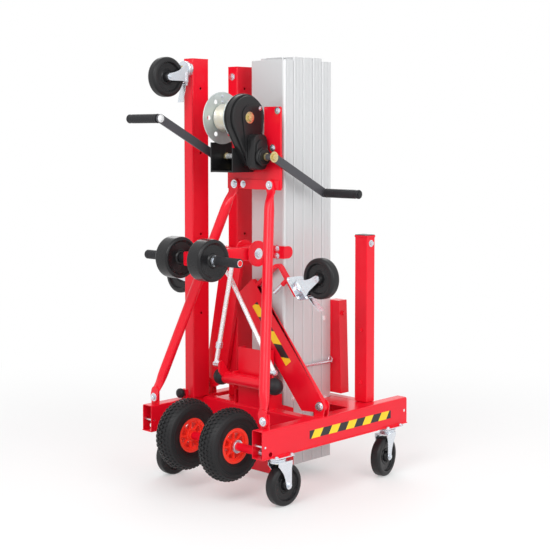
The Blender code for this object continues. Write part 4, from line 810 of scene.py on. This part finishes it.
def winch_fasteners():
    """Bolts of the winch frame and of its mount."""
    frame_bits = Piece("winch_frame_fasteners", "chassis", "black_coat")
    frame_bits.bolt((DRUM_X[0] - 0.0005, *DRUM), (-1, 0, 0), 0.0270, "gold", 0.0080)
    for x, z in ((-0.090, 1.178), (-0.030, 1.178), (-0.090, 1.220)):
        frame_bits.bolt((x, CROSSBAR_Y - 0.0055, z), (0, -1, 0), 0.013, "gold", 0.0050)
    frame_bits.done()
    mount_bits = Piece("winch_mount_fasteners", "chassis", "zinc_plate")
    for x, z, face in ((0.125, 1.385, MOUNT_Y), (0.100, 1.250, MOUNT_Y), (-0.050, 1.114, CROSSBAR_Y)):
        mount_bits.bolt((x, face - 0.0002, z), (0, -1, 0), 0.0155, "zinc", 0.0070)
    mount_bits.done()


def crank():
    """The bright shaft through the winch, its two grey arms, and a loose ribbed grip on each."""
    arms = Piece("crank_dressed", "crank_arms", "black_coat", ["crank"])
    y, z = SHAFT
    arms.rod((-CRANK_X[-1], y, z), (CRANK_X[1], y, z), 0.0078, "chrome", 32)
    arms.rod((-0.1035, y, z), (0.0005, y, z), 0.0100, "chrome", 36, 0.0010)
    arms.rod((-0.1035, y, z), (-0.0955, y, z), 0.0150, "gold", 6, 0.0012)
    arms.rod((0.1070, y, z), (0.1150, y, z), 0.0150, "gold", 6, 0.0012)
    arms.rod((0.1140, y, z), (CRANK_X[1], y, z), 0.0115, "arm", 36, 0.0010)
    arms.rod((-0.1135, y, z), (-CRANK_X[-1], y, z), 0.0125, "arm", 36, 0.0010)
    for side, word in ((1, "right"), (-1, "left")):
        arm = CRANK_X[side]
        end = (y + side * CRANK_REACH * math.cos(CRANK_TILT), z - side * CRANK_REACH * math.sin(CRANK_TILT))
        low, high = span(side, arm - 0.0035, arm + 0.0035)
        arms.flat([capsule((y, z), end, 0.0160), circle(end, 0.0045)], "X", low, high, "arm", 0.0013)
        arms.bolt((side * (arm + 0.0035), y, z), (side, 0, 0), 0.0230, "gold", 0.0095)
        arms.bolt((side * (arm - 0.0035), *end), (-side, 0, 0), 0.0170, "chrome", 0.0050)
        start, tip = arm + GRIP_START, arm + GRIP_START + GRIP_LENGTH
        arms.rod((side * (arm + 0.003), *end), (side * (start - 0.0003), *end), 0.0120, "arm", 32)
        arms.rod((side * arm, *end), (side * (tip + 0.002), *end), 0.0060, "zinc", 20)
        arms.lathe([(0.0, 0.0), (0.0110, 0.0), (0.0112, side * 0.0020), (0.0080, side * 0.0032),
                    (0.0, side * 0.0034)],
                   (side * (tip + 0.0003), *end), "X", "black", 32)
        grip = Piece(f"{word}_grip_dressed", f"{word}_grip", "grip_plastic", [f"{word}_crank_grip"])
        profile = [(0.0066, 0.0), (0.0150, 0.0), (0.0170, 0.0015), (0.0172, 0.0050), (0.0155, 0.0085)]
        ridges = 13
        step = (GRIP_LENGTH - 0.030) / ridges
        for number in range(ridges):
            low = 0.012 + step * number
            profile += [(0.0160, low), (0.0167, low + step * 0.25), (0.0167, low + step * 0.7),
                        (0.0160, low + step * 0.9)]
        profile += [(0.0157, GRIP_LENGTH - 0.016), (0.0156, GRIP_LENGTH - 0.012),
                    (0.0168, GRIP_LENGTH - 0.006),
                    (0.0168, GRIP_LENGTH - 0.003), (0.0150, GRIP_LENGTH), (0.0066, GRIP_LENGTH)]
        if side < 0:
            profile = [(r, -h) for r, h in profile]
        grip.lathe(profile, (side * start, *end), "X", "grip", 40)
        grip.done()
    arms.done()


# Loading arm and rest bar

def loading_arm():
    y, z = HINGE
    bracket = Piece("arm_bracket_dressed", "chassis", "red_powder_coat", ["arm_bracket"])
    strap = MAST_HALF + 0.0043
    foot, head = BRACKET_Z
    bracket.box((-strap, strap), (MAST_REAR - 0.0043, MAST_REAR - 0.0003), (foot, head))
    bracket.rod((-0.0395, y, z), (0.0395, y, z), 0.0100, "zinc", 32)
    for side in (1, -1):
        low, high = span(side, 0.031, 0.039)
        bracket.flat([circle((y, z), 0.048, 64)], "X", low, high, "red", 0.0018)
        bracket.flat([[(y + 0.010, z - 0.030), (MAST_REAR - 0.002, z - 0.0215),
                       (MAST_REAR - 0.002, z + 0.0240),
                       (y + 0.010, z + 0.034)]], "X", low + 0.0005, high - 0.0005, "red", 0.0010)
        bracket.bolt((side * 0.039, y, z), (side, 0, 0), 0.0240, "zinc", 0.0080)
        wing = [(MAST_REAR - 0.003, foot + 0.0007),
                *arc((-0.0295, (foot + head) / 2), (head - foot) / 2 - 0.0007, -90, 90, 16),
                (MAST_REAR - 0.003, head - 0.0007)]
        bracket.flat([wing], "X", *span(side, MAST_HALF + 0.0003, strap - 0.0002), "red", 0.0008)
        for height in (foot + 0.010, head - 0.010):
            bracket.bolt((side * 0.056, MAST_REAR - 0.0043, height), (0, -1, 0), 0.0150, "zinc", 0.0068)
    bracket.rod((-0.036, -0.172, z + 0.002), (-0.0425, -0.172, z + 0.002), 0.0070, "zinc", 24)
    bracket.done()

    arm = Piece("roller_arm_dressed", "loading_arm", "red_powder_coat", ["roller_arm"])
    arm.flat([rounded(0.050, 0.050, 0.007, (0, z)), rounded(0.044, 0.044, 0.004, (0, z))], "Y",
             ROLLER_Y - 0.018,
             y - 0.015, "red", 0.0006)
    arm.rod((-0.0295, y, z), (0.0295, y, z), 0.0300, "red", 48, 0.0012)
    arm.box((-0.0215, 0.0215), (ROLLER_Y - 0.0175, ROLLER_Y - 0.0155), (z - 0.0215, z + 0.0215), "red")
    bar = (ROLLER_Y, z)
    arm.rod((-0.245, *bar), (0.245, *bar), 0.0122, "zinc", 36)
    for side in (1, -1):
        arm.rod((side * 0.024, *bar), (side * (ROLLER_X - ROLLER_W / 2 - 0.0003), *bar),
                0.0180, "grip", 40, 0.0015)
        arm.rod((side * (ROLLER_X + ROLLER_W / 2 + 0.0003), *bar),
                (side * (ROLLER_X + ROLLER_W / 2 + 0.0035), *bar),
                0.0190, "zinc", 40)
        profile = [(0.0100, 0.0), (0.0175, 0.0), (0.0200, 0.0015), (0.0202, 0.0035), (0.0170, 0.0055)]
        for number in range(12):
            low = 0.010 + 0.0078 * number
            profile += [(0.0158, low), (0.0166, low + 0.0015), (0.0166, low + 0.0050), (0.0158, low + 0.0065)]
        profile += [(0.0166, 0.1060), (0.0166, 0.1120), (0.0150, 0.1146), (0.0100, 0.1146)]
        if side < 0:
            profile = [(r, -h) for r, h in profile]
        arm.lathe(profile, (side * 0.1300, *bar), "X", "grip", 44)
        arm.lathe([(0.0, 0.0), (0.0105, 0.0), (0.0105, side * 0.0014), (0.0085, side * 0.0022),
                   (0.0, side * 0.0024)],
                  (side * 0.2434, *bar), "X", "cap", 36)
    arm.done()
    for side, word in ((1, "right"), (-1, "left")):
        roller = Piece(f"{word}_roller_dressed", f"{word}_loading_roller", "grip_plastic", [f"{word}_roller"])
        half = [(0.0132, 0.0325), (0.0225, 0.0325), (0.0250, 0.0310), (0.0275, 0.0265), (0.0330, 0.0255),
                (0.0560, 0.0262),
                (0.0600, 0.0300), (0.0630, 0.0325), (0.0685, 0.0325), (0.0722, 0.0305), (0.0742, 0.0275),
                (0.0750, 0.0235)]
        roller.lathe(mirrored(half), (side * ROLLER_X, *bar), "X", "hub", 64)
        roller.done()


def rest_bar():
    """The red cross tube with rubber end balls, on its channel and two lugs."""
    rest = Piece("rest_bar_dressed", "chassis", "red_powder_coat", ["rest_bar"])
    low, rear = 0.2843, -0.130
    channel = [(-0.075, rear), (0.075, rear), (0.075, -0.0905), (0.070, -0.0905), (0.070, rear + 0.005),
               (-0.070, rear + 0.005), (-0.070, -0.0905), (-0.075, -0.0905)]
    rest.flat([channel], "Z", low, 0.500, "red", 0.0010)
    y, z = REST
    rest.rod((-0.122, y, z), (0.122, y, z), 0.0235, "red", 48, 0.0010)
    for side in (1, -1):
        rest.box(span(side, 0.066, 0.0735), (-0.162, rear + 0.002), (0.352, 0.412))
        rest.ball((side * 0.140, y, z), 0.0320, "grip")
        rest.rod((side * 0.1165, y, z), (side * 0.1225, y, z), 0.0250, "grip", 40, 0.0015)
    lug = [(-0.168, 0.384), (-0.140, 0.384), (-0.140, 0.400), *arc((-0.153, 0.433), 0.0135, 0, 180, 12),
           (-0.168, 0.405)]
    rest.flat([lug], "X", 0.1055, 0.1130, "red", 0.0010)
    lug = [(-0.178, 0.3843), (-0.148, 0.3843), (-0.148, 0.405), (-0.1715, 0.436),
           *arc((-0.185, 0.436), 0.0135, 0, 180, 12), (-0.1985, 0.410)]
    rest.flat([lug], "X", -0.1130, -0.1055, "red", 0.0010)
    rest.done()

    top, bottom = Vector((-0.0523, -0.172, HINGE[1] + 0.002)), Vector((-0.1375, -0.185, REST[1] + 0.053))
    run = bottom - top
    rod = Piece("stay_rod_1_dressed", "chassis", "zinc_plate", ["stay_rod_1"])
    rod.rod(top, bottom, 0.0085, "chrome", 32)
    rod.rod(top + run * 0.80, top + run * 0.86, 0.0125, "zinc", 36, 0.0015)
    rod.rod(top + run * 0.815, top + run * 0.825, 0.0132, "zinc", 36, 0.0006)
    rod.rod((-0.0428, *top[1:]), (-0.0585, *top[1:]), 0.0115, "zinc", 32, 0.0012)
    rod.rod((-0.1133, *bottom[1:]), (-0.1440, *bottom[1:]), 0.0115, "zinc", 32, 0.0012)
    rod.bolt((-0.1440, *bottom[1:]), (-1, 0, 0), 0.0150, "zinc", 0.0045, False)
    rod.done()
    low = (0.1375, -0.152, REST[1] + 0.050)
    rod = Piece("stay_rod_2_dressed", "chassis", "zinc_plate", ["stay_rod_2"])
    rod.bent([low, (-0.100, -0.152, HINGE[1] - 0.090), (-0.158, -0.179, HINGE[1] - 0.018)],
             0.0085, "chrome", 0.020, 8)
    rod.rod((0.1133, *low[1:]), (0.1440, *low[1:]), 0.0115, "zinc", 32, 0.0012)
    rod.bolt((0.1440, *low[1:]), (1, 0, 0), 0.0150, "zinc", 0.0045, False)
    rod.done()


def lock_rod():
    lock = Piece("transport_lock_dressed", "chassis", "zinc_plate", ["transport_lock_rod"])
    x, z, y0, y1 = 0.100, 0.425, -0.016, 0.205
    lock.rod((x, y0, z), (x, y1, z), 0.0060, "zinc", 28)
    lock.box((MAST_HALF + 0.0003, x + 0.004), (y0 - 0.010, y0 + 0.010), (z - 0.014, z + 0.014), "zinc")
    ring = [(x, y1 - 0.010 + 0.011 * math.cos(a), z + 0.006 + 0.011 * math.sin(a))
            for a in [2 * math.pi * n / 40 for n in range(41)]]
    lock.bent(ring, 0.0022, "zinc", 0.0, 5)
    lock.rod((x - 0.008, y1 - 0.010, z), (x + 0.010, y1 - 0.010, z), 0.0030, "zinc", 20)
    lock.done()


# Stowed load parts

def outrigger(side, word):
    lean = OUT_LEAN[side]
    across = Vector((side * math.cos(lean), 0, math.sin(lean)))
    along = Vector((-side * math.sin(lean), 0, math.cos(lean)))
    x, z = out_point(side, OUT_CASTER, OUT_DROP)
    seat = seat_at(Vector((x, -0.042, z)), across, -along)
    seat_plate(f"{word}_outrigger", f"{word}_out", seat,
               corners=[(0.0345, 0.040, 1), (0.0345, -0.040, 1), (-0.0345, 0.040, -1), (-0.0345, -0.040, -1)])
    caster(f"{word}_outrigger", seat, pedal=True)

    def pin_point(reach):
        px, pz = out_point(side, OUT_PIN, reach)
        return Vector((px, (OUT_Y[0] + OUT_Y[1]) / 2, pz))

    pin = Piece(f"{word}_lock_pin_dressed", f"{word}_pin", "zinc_plate", [f"{word}_outrigger_lock_pin"])
    pin.rod(pin_point(0.0600), pin_point(0.1290), 0.0050, "zinc", 28, 0.0015)
    pin.rod(pin_point(0.0590), pin_point(0.1110), 0.0076, "zinc", 36, 0.0012)
    pin.rod(pin_point(0.0590), pin_point(0.0650), 0.0088, "zinc", 36, 0.0012)
    pin.rod(pin_point(0.0700), pin_point(0.0725), 0.0084, "zinc", 36, 0.0006)
    pin.done()
    if side > 0:
        tape = Piece("right_outrigger_tape", "right_out", "red_powder_coat")
        low, high, middle, half = 0.205, 0.475, -0.034, 0.016
        corners = [out_point(side, along_leg, middle - OUT_SKEW * along_leg + offset)
                   for along_leg, offset in ((low, -half), (high, -half), (high, half), (low, half))]
        tape.flat([corners], "Y", OUT_Y[0] - 0.0003, OUT_Y[0] + 0.0005, "leg_tape", 0.0001)
        tape.done()


def long_leg(number):
    (cx, cy), high = LEGS[number]
    facing = -1 if number == 1 else 1
    name = f"long_leg_{number}"
    y = cy if facing < 0 else cy + LEG_SIZE[1]
    seat = seat_at(Vector((cx + LEG_SIZE[0] / 2, y, high - 0.040)), (0, facing, 0), (0, 0, -1))
    seat_plate(name, f"leg_{number}", seat, True)
    caster(name, seat, pedal=True)
    if number == 2:
        stop = Piece(f"{name}_stop_bolt", "leg_2", "zinc_plate")
        stop.bolt((cx + LEG_SIZE[0] / 2, cy - 0.0002, high - 0.037), (0, -1, 0), 0.0170, "zinc", 0.0060)
        stop.done()


def mast_bolts():
    """Small stop bolts on the right face of the mast's sections."""
    for body, places in (("chassis", [(-0.001, 0.306)]), ("mast_4", [(0.148, 0.306)]),
                         ("mast_5", [(0.171, 0.593), (0.182, 0.282)])):
        stops = Piece(f"{body}_stop_bolts", body, "zinc_plate")
        for y, z in places:
            stops.bolt((MAST_HALF, y, z), (1, 0, 0), 0.0110, "chrome", 0.0032)
        stops.done()


def fork_fittings(side, word):
    """The dark plug in the top of a stowed fork, and its stop bolt."""
    fittings = Piece(f"{word}_fork_fittings", f"{word}_fork_tube", "grip_plastic")
    (x, y), (wide, deep) = FORK_CORNER, FORK_SIZE
    fittings.box(span(side, x + 0.001, x + wide - 0.001), (y + 0.001, y + deep - 0.001),
                 (FORK_TOP - 0.001, FORK_TOP + 0.0022),
                 "grip", 0.0008)
    face = x + wide if side > 0 else -x
    fittings.bolt((face - 0.0005, y + deep / 2, FORK_TOP - 0.030), (1, 0, 0), 0.0150, "zinc", 0.0080)
    fittings.done()


def plunger():
    x, z = LEGS[1][0][0] + LEG_SIZE[0] / 2, 0.308
    knob = Piece("plunger_dressed", "plunger_knob", "grip_plastic", ["plunger"])
    knob.lathe([(0.0, 0.0125), (0.0120, 0.0120), (0.0165, 0.0095), (0.0185, 0.0050), (0.0185, -0.0020),
                (0.0160, -0.0075), (0.0105, -0.0110), (0.0090, -0.0120), (0.0, -0.0120)],
               (x, -0.2345, z), "Y", "grip", 44)
    knob.rod((x, -0.2270, z), (x, -0.1903, z), 0.0050, "zinc", 24)
    knob.rod((x, -0.2235, z), (x, -0.2195, z), 0.0085, "zinc", 6)
    knob.done()


SOFTENED = {
    "right_beam": ("chassis", "red"), "left_beam": ("chassis", "red"),
    "rear_cross_member": ("chassis", "red"), "front_cross_member": ("chassis", "red"),
    "mast_section_1": ("chassis", "alloy"), "mast_section_2": ("mast_2", "alloy"),
    "mast_section_3": ("mast_3", "alloy"), "mast_section_4": ("mast_4", "alloy"),
    "mast_section_5": ("mast_5", "alloy"), "carriage": ("lift_carriage", "red"),
    "right_outrigger_leg": ("right_out", "red"), "left_outrigger_leg": ("left_out", "red"),
    "long_leg_1": ("leg_1", "red"), "long_leg_2": ("leg_2", "red"), "right_fork": ("right_fork_tube", "red"),
    "left_fork": ("left_fork_tube", "red"),
}
for solid, (body, finish) in SOFTENED.items():
    softened(solid, body, finish, 0.0016 if finish == "alloy" else 0.0007)

for side, word in ((1, "right"), (-1, "left")):
    base_details(side, word)
    pneumatic_wheel(side, word)
    stay_strut(side, word)
    outrigger(side, word)
    fork_fittings(side, word)
beam_tape()
wheel_axle()
mast_bolts()
cable_drum()
gear_cover()
brake_housing()
winch_frame()
winch_mount()
winch_fasteners()
crank()
loading_arm()
rest_bar()
lock_rod()
long_leg(1)
long_leg(2)
plunger()


# Floor, light and camera

SKY = 0.62              # the surround's light on the object
FADE = (1.0, 2.6)       # where the floor starts and ends fading to white
LIFT = 0.35             # how much of that white it has everywhere, which keeps its shadow light
LAMPS = (("key", (1.2, -3.4, 3.6), 2.4, 95), ("fill", (3.8, -0.4, 2.4), 2.6, 60),
         ("back", (-2.6, 2.6, 3.2), 2.6, 45))


def studio():
    """A pale floor that holds the shadow and fades to white, a white surround, and three soft lamps."""
    floor_mesh = bpy.data.meshes.new("studio_floor")
    reach = 14.0
    floor_mesh.from_pydata([(-reach, -reach, 0), (reach, -reach, 0), (reach, reach, 0), (-reach, reach, 0)],
                           [], [(0, 1, 2, 3)])
    floor = bpy.data.objects.new("studio_floor", floor_mesh)
    bpy.context.scene.collection.objects.link(floor)
    paint = Paint("studio_floor", Base_Color=(0.92, 0.92, 0.92), Roughness=0.85)
    away = paint.add("VectorMath", {"operation": "LENGTH"}, (paint.add("TexCoord", output=3),), output=1)
    fade = paint.add("MapRange", {"interpolation_type": "SMOOTHSTEP"},
                     {"Value": away, "From Min": FADE[0], "From Max": FADE[1]})
    white = paint.add("Emission", {}, {"Color": (1, 1, 1, 1), "Strength": 1.0})
    camera_ray, glossy_ray = [paint.add("LightPath", output=f"Is {kind} Ray")
                              for kind in ("Camera", "Glossy")]
    seen = camera_ray.math("MAXIMUM", glossy_ray)
    ground = Wire(paint, paint.shader.outputs[0])
    mixed = paint.add("MixShader", {}, ((fade * (1 - LIFT) + LIFT) * seen, ground, white))
    paint.links.new(mixed.socket, paint.nodes["Material Output"].inputs["Surface"])
    floor_mesh.materials.append(paint.material)

    world = bpy.data.worlds.new("studio")
    bpy.context.scene.world = world
    sky = Paint("studio", world, "Background", Color=(1, 1, 1))
    camera_ray, glossy_ray, through = [sky.add("LightPath", output=f"Is {kind} Ray")
                                       for kind in ("Camera", "Glossy", "Transmission")]
    seen = camera_ray.math("MAXIMUM", glossy_ray).math("MAXIMUM", through)
    sky.set(Strength=seen * (1 - SKY) + SKY)

    for name, place, size, power in LAMPS:
        lamp = bpy.data.lights.new(name, "AREA")
        lamp.size, lamp.energy = size, power
        obj = bpy.data.objects.new(name, lamp)
        obj.location = place
        obj.rotation_euler = (Vector((0, 0, 0.7)) - Vector(place)).to_track_quat("-Z", "Y").to_euler()
        bpy.context.scene.collection.objects.link(obj)


def camera():
    """The photograph's view: 1235 px of focal length on a 550 px picture, the eye 1.30 m up."""
    data = bpy.data.cameras.new("camera")
    data.sensor_width = 36
    data.lens = 1235 / 550 * 36
    data.clip_end = 60
    obj = bpy.data.objects.new("camera", data)
    place = ORIGIN + Vector((3.257, -3.336, 1.297))
    heading, pitch = math.radians(44.15), math.radians(3.2)
    look = Vector((-math.sin(heading) * math.cos(pitch), math.cos(heading) * math.cos(pitch),
                   -math.sin(pitch)))
    obj.location = place
    obj.rotation_euler = look.to_track_quat("-Z", "Y").to_euler()
    data.shift_x = -0.009
    data.shift_y = -0.129
    bpy.context.scene.collection.objects.link(obj)
    bpy.context.scene.camera = obj


studio()
camera()
bpy.context.scene.view_settings.view_transform = "Standard"
